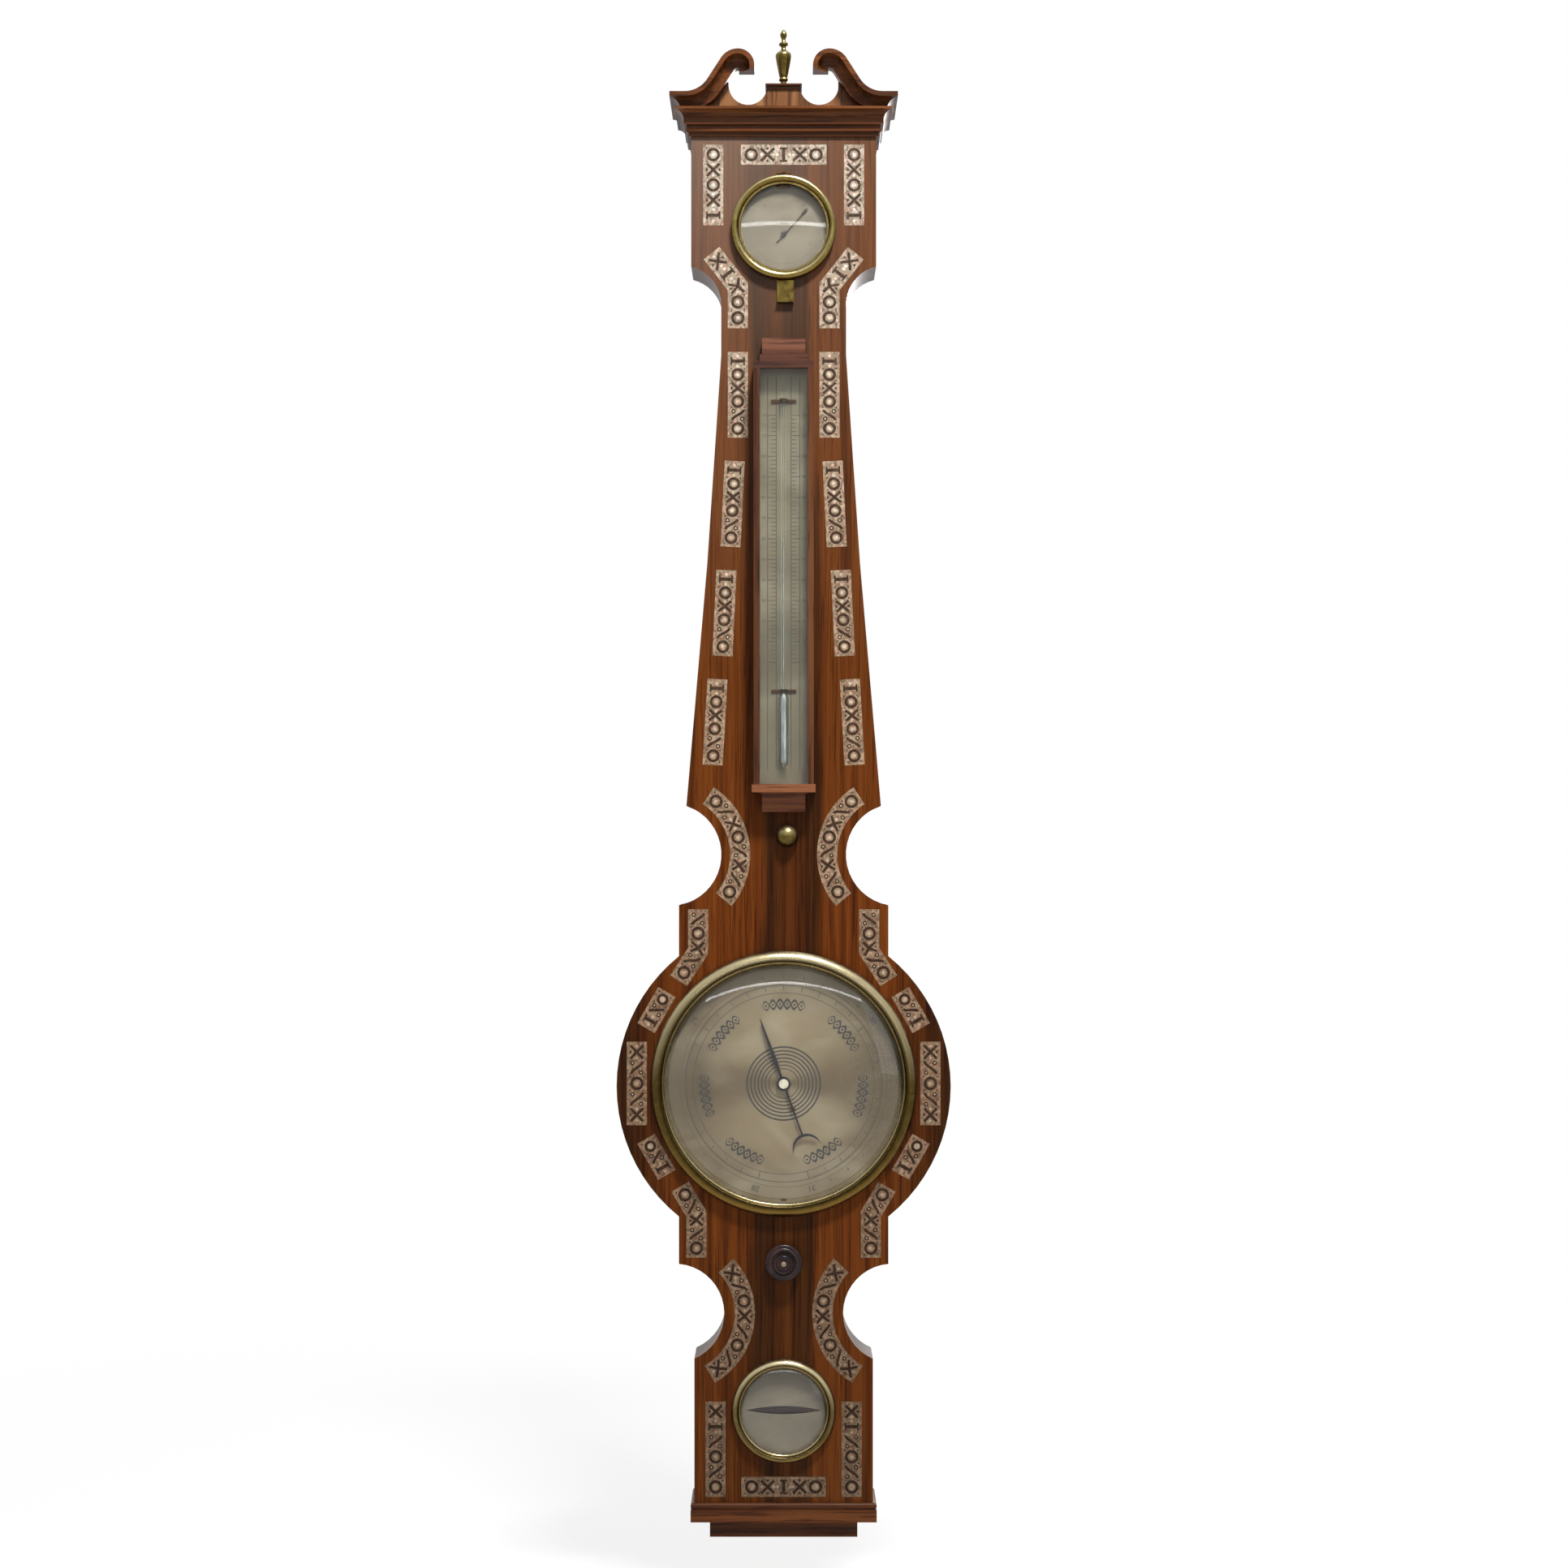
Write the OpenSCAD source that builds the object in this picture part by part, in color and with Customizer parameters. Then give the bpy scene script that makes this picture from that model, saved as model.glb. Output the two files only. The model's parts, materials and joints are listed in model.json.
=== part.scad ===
// Banjo (wheel) barometer with hygrometer, boxed thermometer, set hand and spirit level.
// Millimetres, +Z up, front towards -Y. The origin is the hole of the hanging plate,
// on the plane of the wall. Most pieces are drawn from the centre of the main dial.

/* [Case] */
// From the hanging hole down to the centre of the main dial
hang_drop = 795; // [790:1:800]
// Depth of the wooden carcass
case_depth = 46; // [44:1:48]
// Thickness of the rosewood veneer on the front
veneer_t = 1.2; // [1:0.1:2]
// Thickness of the carcass wall behind the main dial
front_wall = 6; // [5:0.5:7]
// Radius of the round body
body_r = 140; // [138:1:143]
// Distance of the centre of the round body below the main dial
body_drop = 2.4; // [2:0.1:3]
// Width of the shoulders above and below the round body
shoulder_w = 175.4; // [174:0.2:178]
// Radius of the upper waist notches
upper_notch_r = 43; // [41:0.5:44]
// Distance of the upper notch centres from the middle line
upper_notch_x = 95.2; // [94:0.2:97]
// Height of the upper notch centres above the main dial
upper_notch_up = 191.8; // [190:0.2:193]
// Radius of the lower waist notches
lower_notch_r = 41.5; // [40.5:0.5:42.5]
// Distance of the lower notch centres from the middle line
lower_notch_x = 91.3; // [90.5:0.1:92]
// Distance of the lower notch centres below the main dial
lower_notch_down = 192.6; // [191.8:0.1:193.4]
// Width of the trunk where its sides run out in the upper notches
trunk_foot_w = 170; // [168:1:172]
// Width of the trunk at the bend in its sides
trunk_bend_w = 128; // [126:1:131]
// Height of the bend in the sides of the trunk above the main dial
trunk_bend_up = 436; // [420:1:450]
// Radius of the neck notches under the head
neck_r = 33; // [32:0.5:34]
// Distance of the neck notch centres from the middle line
neck_x = 85.3; // [84.6:0.1:86]
// Height of the neck notch centres above the main dial
neck_up = 652.5; // [651.5:0.5:653.5]
// Width of the square head
head_w = 155; // [153:1:160]
// Height of the top of the head above the main dial
head_up = 815; // [814:1:820]
// Width of the plinth at the foot of the case
plinth_w = 149.6; // [148:0.2:154]
// Distance of the foot of the plinth below the main dial
plinth_down = 351; // [350:1:358]

/* [Mouldings] */
// Height of the cornice round the head
cornice_h = 22; // [21:0.5:24]
// Reach of the cornice beyond the head
cornice_reach = 13; // [12:0.5:15]
// Width of the face of the swan-neck mouldings
swan_w = 13; // [12:0.5:14]
// Height of the tips of the swan necks above the head
swan_tip_h = 11; // [10:0.5:12]
// Reach of the swan-neck mouldings in front of the case
swan_reach = 17.5; // [16:0.5:19]
// Radius of the hollow sweep where a swan neck leaves the cornice
swan_sweep_r = 22; // [21:0.5:23]
// Length of the straight stretch of a swan neck
swan_run = 21; // [20:0.5:22]
// Radius of the round sweep at the top of a swan neck
swan_crest_r = 17; // [16:0.5:18]
// Angle that a swan neck climbs at
swan_climb = 57; // [55:0.5:58]
// Distance of the foot of a swan neck from the middle line
swan_foot_x = 82.1; // [81:0.1:83]
// Thickness of the board behind the swan necks
pediment_t = 18; // [12:1:24]
// Radius of the two scoops in the board
scoop_r = 16.2; // [15.5:0.1:16.8]
// Distance of the scoops from the middle line
scoop_x = 29.8; // [29:0.1:30.5]
// Height of the scoop centres above the head
scoop_up = 21.2; // [20.5:0.1:22]
// Height of the centre tablet with its cap
tablet_h = 22; // [20:0.5:24]
// Width of the cap of the centre tablet
tablet_w = 30.5; // [29:0.5:32]
// Thickness of the cap of the centre tablet
tablet_t = 24; // [20:0.5:28]
// Length of the turned finial above the tablet
finial_h = 49; // [46:0.5:52]
// Largest radius of the finial
finial_r = 6.8; // [6:0.1:8]
// Radius of the peg that holds the finial
finial_peg_r = 2.5; // [2:0.1:3]
// Height of the base moulding
base_h = 16; // [14:0.5:18]
// Reach of the base moulding beyond the plinth
base_reach = 3.1; // [2.5:0.1:5]
// Height of the block under the base moulding
block_h = 14; // [12:0.5:16]
// Width of the block under the base moulding
block_w = 123.8; // [120:0.2:128]

/* [Inlay] */
// Width of the inlaid panels
inlay_w = 17; // [16:0.1:17.5]

/* [Main dial] */
// Visible radius of the silvered main dial
dial_r = 100; // [98:0.5:101]
// Width of the brass ring round the main dial
bezel_w = 11.5; // [11:0.1:12.5]
// Height of the brass ring in front of the case
bezel_h = 9.5; // [9:0.1:11]
// Thickness of the silvered dial plates
dial_t = 1.2; // [1:0.1:1.2]
// Thickness of the dial glasses
glass_t = 2; // [1.6:0.1:2.2]
// Rise of the main dial glass at its middle
glass_rise = 10; // [9:0.5:13]
// Length of the steel hand from its centre to its tip
hand_l = 58; // [50:0.5:70]
// Length of the tail of the steel hand
hand_tail = 45.5; // [44:0.5:48]
// Thickness of the hands
hand_t = 0.7; // [0.6:0.1:0.8]
// Angle of both hands from the upright, turning with the clock
hand_angle = -20; // [-22:0.5:-18]
// Free space between a hand and what is behind it
hand_gap = 0.8; // [0.6:0.1:0.9]

/* [Small dials] */
// Visible radius of the two small dials
small_r = 36; // [35:0.5:37]
// Width of the brass ring round a small dial
small_bezel_w = 7.6; // [7.2:0.1:8]
// Height of the brass ring round a small dial
small_bezel_h = 7; // [6.5:0.1:8]
// Rise of the hygrometer glass at its middle
small_rise = 2.5; // [2:0.1:3]
// Rise of the spirit level glass at its middle
level_rise = 4.4; // [4:0.1:5]
// Height of the hygrometer above the main dial
hygro_up = 716.7; // [716:0.1:718]
// Distance of the spirit level below the main dial
level_down = 274; // [273:0.5:275]
// Angle of the hygrometer hand from the upright, turning with the clock
hygro_angle = 43; // [40:0.5:46]
// Length of the hygrometer hand
hygro_hand_l = 29; // [27:0.5:31]
// Outside radius of the glass vial of the level
vial_r = 5; // [4.5:0.1:5.2]
// Length of the vial of the level
vial_l = 66; // [62:0.5:68]
// Width of the catch under the hygrometer
catch_w = 14; // [13:0.1:15]
// Length of the catch under the hygrometer
catch_l = 17.5; // [16:0.5:19]
// Travel of the catch
catch_travel = 4; // [3:0.5:5]

/* [Thermometer] */
// Height of the lower end of the thermometer case above the main dial
thermo_up = 250.2; // [249:0.1:252]
// Length of the thermometer case
thermo_l = 345.5; // [343:0.1:347]
// Width of the thermometer case
thermo_w = 50; // [49:0.5:52]
// Depth of the thermometer case
thermo_d = 20; // [20:0.5:22]
// Thickness of the sides of the thermometer case
thermo_side = 5; // [4.5:0.1:5.5]
// Thickness of the back board of the thermometer case
thermo_back = 4; // [3.5:0.1:4.2]
// Outside radius of the thermometer stem
stem_r = 2.2; // [2:0.1:2.4]
// Outside radius of the thermometer bulb
bulb_r = 4; // [3.6:0.1:4.2]
// Length of the thermometer bulb
bulb_l = 61; // [56:1:68]
// How far the box lifts to come off its screws
lift_travel = 8; // [7:0.5:9]

/* [Movement] */
// Radius of the silk thread on its pulley
thread_r = 6.6; // [6.4:0.1:6.8]
// Radius of the hand arbor
arbor_r = 1; // [0.8:0.05:1.2]
// Outside radius of the set-hand pipe
pipe_r = 2.2; // [2.1:0.05:2.4]
// Radius of the drive cord on its pulleys
cord_ring_r = 9.1; // [8.8:0.1:9.6]
// Radius of the drive cord
cord_r = 0.6; // [0.5:0.05:0.7]
// Radius of the turned set knob
set_knob_r = 15.6; // [14:0.1:17]
// Distance of the set knob below the main dial
set_knob_down = 149; // [148:0.5:150]
// Radius of the brass trunk knob
trunk_knob_r = 9.4; // [8.6:0.1:10]
// Height of the trunk knob above the main dial
trunk_knob_up = 207.4; // [206:0.1:209]

/* [Siphon tube] */
// Outside radius of the long limb
limb_r = 4.5; // [4.2:0.1:4.8]
// Bore radius of the long limb
limb_bore_r = 2.5; // [2.2:0.1:2.8]
// Outside radius of the open limb that holds the float
cistern_r = 6.3; // [6.2:0.1:6.4]
// Bore radius of the open limb
cistern_bore_r = 4.8; // [4.7:0.1:5]
// Distance between the long limb and the middle line
limb_x = 22; // [21:0.5:24]
// Distance of the mercury in the open limb below the main dial
mercury_down = 75; // [72:1:78]
// Height of the mercury column
column_h = 744; // [735:1:750]

/* [Back] */
// Half the width of the movement cavity
cavity_half_w = 40; // [39:0.5:41]
// Height of the top of the cavity above the main dial
cavity_up = 95; // [92:1:100]
// Distance of the foot of the cavity below the main dial
cavity_down = 165; // [163:0.5:166]
// Thickness of the back door
door_t = 4; // [3.6:0.1:4.2]
// Radius of the hole in the hanging plate
hang_hole_r = 4.5; // [4:0.1:5]
// Thickness of the hanging plate
plate_t = 2.5; // [2:0.1:3]

/* [Hidden] */
$fn = 96;
// Clearance of a turning fit, of a let-in piece and of a moving piece
turn_fit = 0.06;
seat_fit = 0.05;
run_gap = 0.3;
// Levels in front of the wall plane
front = case_depth + veneer_t;
cavity_front = case_depth - front_wall;
dial_face = case_depth + dial_t;
set_hand_at = dial_face + hand_gap;
hand_at = set_hand_at + hand_t + hand_gap;
boss_h = 2;
// Radii and heights of the cornice and swan necks
cornice_low = head_up - cornice_h;
swan_top_z = head_up + swan_tip_h;
swan_centre_z = swan_top_z + swan_sweep_r;
swan_dir = [cos(swan_climb), sin(swan_climb)];
swan_run_start = [-swan_foot_x, swan_centre_z] + swan_sweep_r * [swan_dir[1], -swan_dir[0]];
swan_run_end = swan_run_start + swan_run * swan_dir;
swan_crest = swan_run_end + swan_crest_r * [swan_dir[1], -swan_dir[0]];
swan_eye_r = swan_w + 0.6;
swan_eye_z = swan_crest[1] + swan_crest_r - swan_eye_r;
swan_drop = 2.6;
tablet_top = head_up + tablet_h;
// Dial seats
dial_seat_r = dial_r + 1;
bezel_r = dial_r + bezel_w;
glass_seat_r = dial_r + 2.4;
glass_at = front + 4.4;
small_seat_r = small_r + 1;
small_bezel_r = small_r + small_bezel_w;
small_well_r = small_r - 6;
small_seat_at = case_depth - 1;
small_glass_seat_r = small_r + 1.8;
small_glass_at = front + 2.4;
// Hygrometer movement
hygro_arbor_r = 0.8;
hygro_arbor_up = hygro_up - 4.8;
hygro_hand_at = small_seat_at + dial_t + hand_gap;
hygro_well_at = case_depth - 12;
beard_r = 1;
beard_socket = 5;
knuckle_r = 1.3;
hygro_pin_r = 0.7;
hygro_axis_up = hygro_up + small_bezel_r + knuckle_r + 0.2;
hygro_axis_at = front + run_gap + knuckle_r;
hygro_knuckle_l = 4;
hygro_leaf_t = veneer_t - 0.2;
catch_x = 1.4;
catch_top = hygro_up - small_bezel_r - run_gap;
catch_t = 1.2;
catch_stem_r = 1.5;
catch_stem_at = case_depth - 9;
// Thermometer box
thermo_at = front + run_gap;
thermo_front = thermo_at + thermo_d;
thermo_top = thermo_up + thermo_l;
thermo_in_w = thermo_w - 2 * thermo_side;
scale_t = 1;
scale_at = thermo_at + thermo_back + 3;
groove_d = 1.6;
pane_t = 1.5;
pane_at = thermo_front - pane_t - 1.5;
tube_axis_at = scale_at + scale_t + 0.2 + bulb_r;
bulb_low = thermo_up + 14.5;
stem_top = thermo_top - 18;
hook_r = 1.5;
hook_head_r = 3;
hook_head_t = 1.8;
hook_ups = [thermo_up + 50, thermo_top - 40];
// Movement behind the dial
pulley_t = 4;
pulley_gap = 1;
cord_at = cavity_front - pulley_gap - pulley_t / 2;
groove_w = 2 * cord_r + 0.8;
cord_groove_r = cord_ring_r - cord_r - 0.2;
cord_flange_r = cord_ring_r + 0.8;
tube_at = 15;
thread_groove_r = thread_r - 0.4;
thread_flange_r = thread_r + 1.4;
silk_r = 0.2;
bridge_t = 2.5;
bridge_at = tube_at - limb_r - 1.5 - bridge_t;
pillar_x = limb_x + limb_r + 4.5;
pillar_r = 3;
bridge_h = 10;
knob_arbor_r = 2;
trunk_stem_r = 3;
trunk_stem_at = case_depth - 9;
// Siphon tube
bend_z = -mercury_down - 45;
bend_r = (limb_x + thread_r) / 2;
bend_x = (thread_r - limb_x) / 2;
cistern_low = bend_z + 12;
cistern_top = -mercury_down + 45;
limb_top = column_h - mercury_down + 60;
limb_close = 4;
film = 0.1;
float_r = cistern_bore_r - 0.6;
float_l = 12;
weight_r = 2.2;
weight_l = 14;
weight_top = -55;
// Back of the case
rebate_lip = 6;
door_gap = 0.3;
door_axis_x = -(cavity_half_w + rebate_lip + 1.6);
door_axis_at = 1.5;
door_edge_x = door_axis_x + 2.6;
recess_x = door_axis_x - 2.4;
door_right = cavity_half_w + rebate_lip;
door_low = -cavity_down - rebate_lip;
door_high = cavity_up + rebate_lip;
leaf_l = 34;
leaf_w = 10;
leaf_t = 1.1;
leaf_at = 0.2;
hinge_pin_r = 0.75;
door_knuckle_r = 1.4;
hinge_ups = [door_low + 45, door_high - 45];
button_x = door_right + 5;
button_up = (door_low + door_high) / 2;
button_l = 10;
button_w = 6;
button_t = 1.6;
button_at = 0.3;
button_pocket_t = button_at + button_t + run_gap;
channel_half_w = limb_r + 2.5;
channel_at = tube_at + limb_r + 2.5;
channel_top = limb_top + 10;
cover_side = 5.2;
cover_half_w = channel_half_w + cover_side;
cover_t = 4;
plate_w = 34;
plate_h = 46;
hook_pocket = [20, 26, 16];
screw_r = 1.2;
screw_head_r = 2.4;
screw_head_t = 1.2;
screw_l = 12;

// Shared helpers. A level f is a distance in front of the wall plane.
module at_dial() { translate([0, 0, -hang_drop]) children(); }
module slab(f0, f1) { translate([0, -f0, 0]) rotate([90, 0, 0]) linear_extrude(f1 - f0) children(); }
module turned(x, z) { translate([x, 0, z]) rotate([90, 0, 0]) rotate_extrude() children(); }
module rod(x, z, r, f0, f1) { translate([x, -f0, z]) rotate([90, 0, 0]) cylinder(r = r, h = f1 - f0); }
module pin_x(x0, x1, f, z, r) { translate([x0, -f, z]) rotate([0, 90, 0]) cylinder(r = r, h = x1 - x0); }
module profile_run(w) { translate([w / 2, 0, 0]) rotate([90, 0, -90]) linear_extrude(w) children(); }
module block(x0, x1, f0, f1, z0, z1) { translate([x0, -f1, z0]) cube([x1 - x0, f1 - f0, z1 - z0]); }
module both_sides() { for (s = [0, 1]) mirror([s, 0, 0]) children(); }
module area(x0, x1, z0, z1) { translate([x0, z0]) square([x1 - x0, z1 - z0]); }

// Ribbon of width w along straight stretches with mitred corners
function unit(v) = v / norm(v);
function side(d) = [-d[1], d[0]];
function mitre(p, i) =
  let (a = side(unit(p[i] - p[i - 1])), b = side(unit(p[i + 1] - p[i]))) (a + b) / (1 + a * b);
function ribbon_side(p, i) = i == 0 ? side(unit(p[1] - p[0]))
  : i == len(p) - 1 ? side(unit(p[i] - p[i - 1])) : mitre(p, i);
function grown(p, g) = [for (i = [0:len(p) - 1]) i == 0 ? p[0] - g * unit(p[1] - p[0])
  : i == len(p) - 1 ? p[i] + g * unit(p[i] - p[i - 1]) : p[i]];
module ribbon(points, g) {
  p = grown(points, g);
  h = inlay_w / 2 + g;
  n = len(p) - 1;
  polygon(concat([for (i = [0:n]) p[i] + h * ribbon_side(p, i)],
    [for (i = [n:-1:0]) p[i] - h * ribbon_side(p, i)]));
}
module arc_ribbon(c, r, a0, a1, g) {
  swing = g / r * 180 / PI;
  reach = 2 * (r + inlay_w);
  h = inlay_w / 2 + g;
  ends = [a0 - swing, (a0 + a1) / 2, a1 + swing];
  translate(c) intersection() {
    difference() {
      circle(r = r + h);
      circle(r = r - h);
    }
    polygon(concat([[0, 0]], [for (a = ends) reach * [cos(a), sin(a)]]));
  }
}

// Outline of the case front
neck_half = neck_x - neck_r;
neck_run = 42;
module case_outline() {
  difference() {
    union() {
      translate([0, -body_drop]) circle(r = body_r);
      area(-shoulder_w / 2, shoulder_w / 2, -lower_notch_down, upper_notch_up);
      polygon([[-trunk_foot_w / 2, upper_notch_up], [trunk_foot_w / 2, upper_notch_up],
        [trunk_bend_w / 2, trunk_bend_up], [neck_half, neck_up - neck_run], [neck_half, neck_up],
        [-neck_half, neck_up], [-neck_half, neck_up - neck_run], [-trunk_bend_w / 2, trunk_bend_up]]);
      area(-head_w / 2, head_w / 2, neck_up, head_up);
      area(-plinth_w / 2, plinth_w / 2, -plinth_down, -lower_notch_down);
    }
    both_sides() {
      translate([upper_notch_x, upper_notch_up]) circle(r = upper_notch_r);
      translate([lower_notch_x, -lower_notch_down]) circle(r = lower_notch_r);
      translate([neck_x, neck_up]) circle(r = neck_r);
    }
  }
}

// Inlay panels, drawn g larger for their pockets
head_margin = 6.3;
head_row = cornice_low - inlay_w / 2 - head_margin;
head_side_x = head_w / 2 - inlay_w / 2 - 10;
head_bar_half = 36;
head_side_l = 59.2;
neck_panel_x = 38.4;
neck_panel_out = 1.5;
neck_panel_start = 21;
neck_panel_bend = 49;
neck_panel_foot = 84;
trunk_panel_l = 72;
trunk_panel_start = 39.5;
trunk_panel_step = 91.4;
trunk_panel_tops = [38.4, 41, 47.9, 55.4];
trunk_panel_feet = [38.4, 44.5, 51.3, 59.5];
shoulder_panel_x = 71.7;
shoulder_panel_out = 16.3;
shoulder_panel_high = 146;
shoulder_panel_bend = 111;
shoulder_panel_low = 86;
skirt_panel_x = 73.1;
skirt_panel_out = 13.6;
skirt_panel_high = 86.4;
skirt_panel_bend = 109.5;
skirt_panel_low = 146;
long_bar_half = 35;
short_bar_half = 17.5;
plinth_bar_half = 35.5;
plinth_side_x = 57;
plinth_side_l = 80;
plinth_margin = 4.5;
upper_arc_r = upper_notch_r + 7.3 + inlay_w / 2;
lower_arc_r = lower_notch_r + 8.8 + inlay_w / 2;
ring_panel_r = bezel_r + 3 + inlay_w / 2;
module head_panels(g) {
  ribbon([[-head_bar_half, head_row], [head_bar_half, head_row]], g);
  both_sides() {
    ribbon([[head_side_x, head_row + inlay_w / 2], [head_side_x, head_row - head_side_l]], g);
    ribbon([[head_side_x + neck_panel_out, hygro_up - neck_panel_start],
      [neck_panel_x, hygro_up - neck_panel_bend], [neck_panel_x, hygro_up - neck_panel_foot]], g);
  }
}
module trunk_panels(g) {
  both_sides() for (i = [0:3]) {
    top = neck_up - trunk_panel_start - i * trunk_panel_step;
    ribbon([[trunk_panel_tops[i], top], [trunk_panel_feet[i], top - trunk_panel_l]], g);
  }
}
module dial_panels(g) {
  both_sides() {
    arc_ribbon([upper_notch_x, upper_notch_up], upper_arc_r, 123, 220, g);
    ribbon([[shoulder_panel_x, shoulder_panel_high], [shoulder_panel_x, shoulder_panel_bend],
      [shoulder_panel_x + shoulder_panel_out, shoulder_panel_low]], g);
    for (a = [[30, short_bar_half], [0, long_bar_half], [-30, short_bar_half]])
      rotate(a[0]) ribbon([[ring_panel_r, -a[1]], [ring_panel_r, a[1]]], g);
    ribbon([[skirt_panel_x + skirt_panel_out, -skirt_panel_high], [skirt_panel_x, -skirt_panel_bend],
      [skirt_panel_x, -skirt_panel_low]], g);
    arc_ribbon([lower_notch_x, -lower_notch_down], lower_arc_r, 137, 240, g);
  }
}
module base_panels(g) {
  plinth_row = -plinth_down + plinth_margin;
  ribbon([[-plinth_bar_half, plinth_row + inlay_w / 2], [plinth_bar_half, plinth_row + inlay_w / 2]], g);
  both_sides() ribbon([[plinth_side_x, plinth_row], [plinth_side_x, plinth_row + plinth_side_l]], g);
}
module panel(tone) { color(tone) at_dial() slab(case_depth, front) children(); }
module head_inlay() { panel("wheat") head_panels(0); }
module trunk_inlay() { panel("wheat") trunk_panels(0); }
module dial_inlay() { panel("wheat") dial_panels(0); }
module base_inlay() { panel("wheat") base_panels(0); }

// Slots and screw places that several pieces share
trunk_knob_x = 3;
stem_up = catch_top - 8;
plate_up = 9;
plate_down = 25;
plate_screw_x = 12;
plate_screw_high = 4;
plate_screw_low = 20;
plate_screws = [for (x = [-plate_screw_x, plate_screw_x], z = [plate_screw_high, -plate_screw_low])
  [x, hang_drop + z]];
cover_low = door_high + door_gap;
cover_lap = 6;
cover_edge = 2.6;
cover_screw_in = 12;
cover_high = channel_top + cover_lap;
cover_screw_x = -limb_x - channel_half_w - cover_edge;
cover_screw_step = (cover_high - cover_low - 2 * cover_screw_in) / 3;
cover_screws = [for (i = [0:3]) [cover_screw_x, cover_low + cover_screw_in + i * cover_screw_step]];
module catch_slot(r) {
  for (z = [stem_up, stem_up - catch_travel]) translate([catch_x, z]) circle(r = r);
  area(catch_x - r, catch_x + r, stem_up - catch_travel, stem_up);
}
module front_holes() {
  translate([0, hygro_up]) circle(r = small_seat_r + seat_fit);
  translate([0, -level_down]) circle(r = small_seat_r + seat_fit);
  translate([0, -set_knob_down]) circle(r = knob_arbor_r + turn_fit);
  translate([trunk_knob_x, trunk_knob_up]) circle(r = trunk_stem_r + turn_fit);
  catch_slot(catch_stem_r + turn_fit);
}
hygro_leaf_half = 1.5 * hygro_knuckle_l;
hygro_leaf_low = hygro_axis_up - 12;

// Pine carcass, hollowed from the back for the movement and the tube
vial_at = small_seat_at - seat_fit - vial_r;
module wells() {
  turned(0, hygro_up) {
    area(0, small_seat_r + seat_fit, small_seat_at, front);
    area(0, small_well_r, hygro_well_at, front);
  }
  rod(0, hygro_arbor_up, beard_r + seat_fit, hygro_well_at - beard_socket, front);
  turned(0, -level_down) area(0, small_seat_r + seat_fit, small_seat_at, front);
  vial_half = vial_l / 2 + seat_fit;
  pin_x(-vial_half, vial_half, vial_at, -level_down, vial_r + seat_fit);
  block(-vial_half, vial_half, vial_at, small_seat_at + 1, -level_down - vial_r, -level_down + vial_r);
  rod(trunk_knob_x, trunk_knob_up, trunk_stem_r + turn_fit, trunk_stem_at, front);
  slab(catch_stem_at, front) catch_slot(catch_stem_r + turn_fit);
  for (z = hook_ups) rod(0, z, hook_r, case_depth - 10, front);
}
module back_cuts() {
  block(-cavity_half_w, cavity_half_w, -1, cavity_front, -cavity_down, cavity_up);
  block(recess_x, door_right, -1, door_t + door_gap, door_low, door_high);
  for (z = hinge_ups)
    block(door_axis_x - leaf_w - seat_fit, recess_x + 1, -1, leaf_at + leaf_t + seat_fit,
      z - leaf_l / 2 - seat_fit, z + leaf_l / 2 + seat_fit);
  rod(button_x, button_up, button_l + 1, -1, button_pocket_t);
  rod(button_x, button_up, screw_r, -1, screw_l);
  limb_left = -limb_x - channel_half_w;
  block(limb_left, limb_left + 2 * channel_half_w, -1, channel_at, cavity_up - 1, channel_top);
  block(-limb_x - cover_half_w, -limb_x + cover_half_w, -1, cover_t, door_high - 1, cover_high);
  block(-plate_w / 2, plate_w / 2, -1, plate_t, hang_drop - plate_down, hang_drop + plate_up);
  block(-hook_pocket[0] / 2, hook_pocket[0] / 2, -1, plate_t + hook_pocket[2], hang_drop - hook_pocket[1] / 2,
    hang_drop + plate_up - 1);
  for (p = concat(plate_screws, cover_screws)) rod(p[0], p[1], screw_r, -1, screw_l);
}
module case_body() {
  color("saddlebrown") at_dial() difference() {
    slab(0, case_depth) case_outline();
    back_cuts();
    wells();
    rod(0, 0, pipe_r + turn_fit, 1, front);
    rod(0, -set_knob_down, knob_arbor_r + turn_fit, 1, front);
  }
}
module front_veneer() {
  color("brown") at_dial() difference() {
    slab(case_depth, front) difference() {
      case_outline();
      circle(r = dial_seat_r + seat_fit);
      front_holes();
      for (z = hook_ups) translate([0, z]) circle(r = hook_r);
      head_panels(seat_fit);
      trunk_panels(seat_fit);
      dial_panels(seat_fit);
      base_panels(seat_fit);
    }
    block(-hygro_leaf_half - seat_fit, hygro_leaf_half + seat_fit, front - hygro_leaf_t - seat_fit, front + 1,
      hygro_leaf_low, hygro_axis_up + 1);
  }
}

// Cornice, swan necks, tablet and finial
// Heights of the steps of the cornice from its foot up, and their reach
cornice_foot_h = 3;
cornice_foot_reach = 2;
bead_h = 3;
bead_reach = 4.5;
bead_round = 0.9;
cornice_neck_h = 3;
cornice_neck_reach = 3.5;
cornice_fillet_h = 4;
cornice_fillet_reach = 6;
cove_r = 7;
module cornice_section() {
  bead_low = cornice_low + cornice_foot_h;
  bead_top = bead_low + bead_h;
  fillet_low = bead_top + cornice_neck_h;
  cove_low = fillet_low + cornice_fillet_h;
  area(0, cornice_foot_reach, cornice_low, bead_low);
  polygon([[0, bead_low], [bead_reach - bead_round, bead_low], [bead_reach, bead_low + bead_round],
    [bead_reach, bead_top - bead_round], [bead_reach - bead_round, bead_top], [0, bead_top]]);
  area(0, cornice_neck_reach, bead_top, fillet_low);
  area(0, cornice_fillet_reach, fillet_low, cove_low);
  difference() {
    area(0, cornice_reach, cove_low, cove_low + cove_r);
    translate([cornice_reach, cove_low]) circle(r = cove_r);
  }
  area(0, cornice_reach, cove_low + cove_r, head_up);
}
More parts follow.
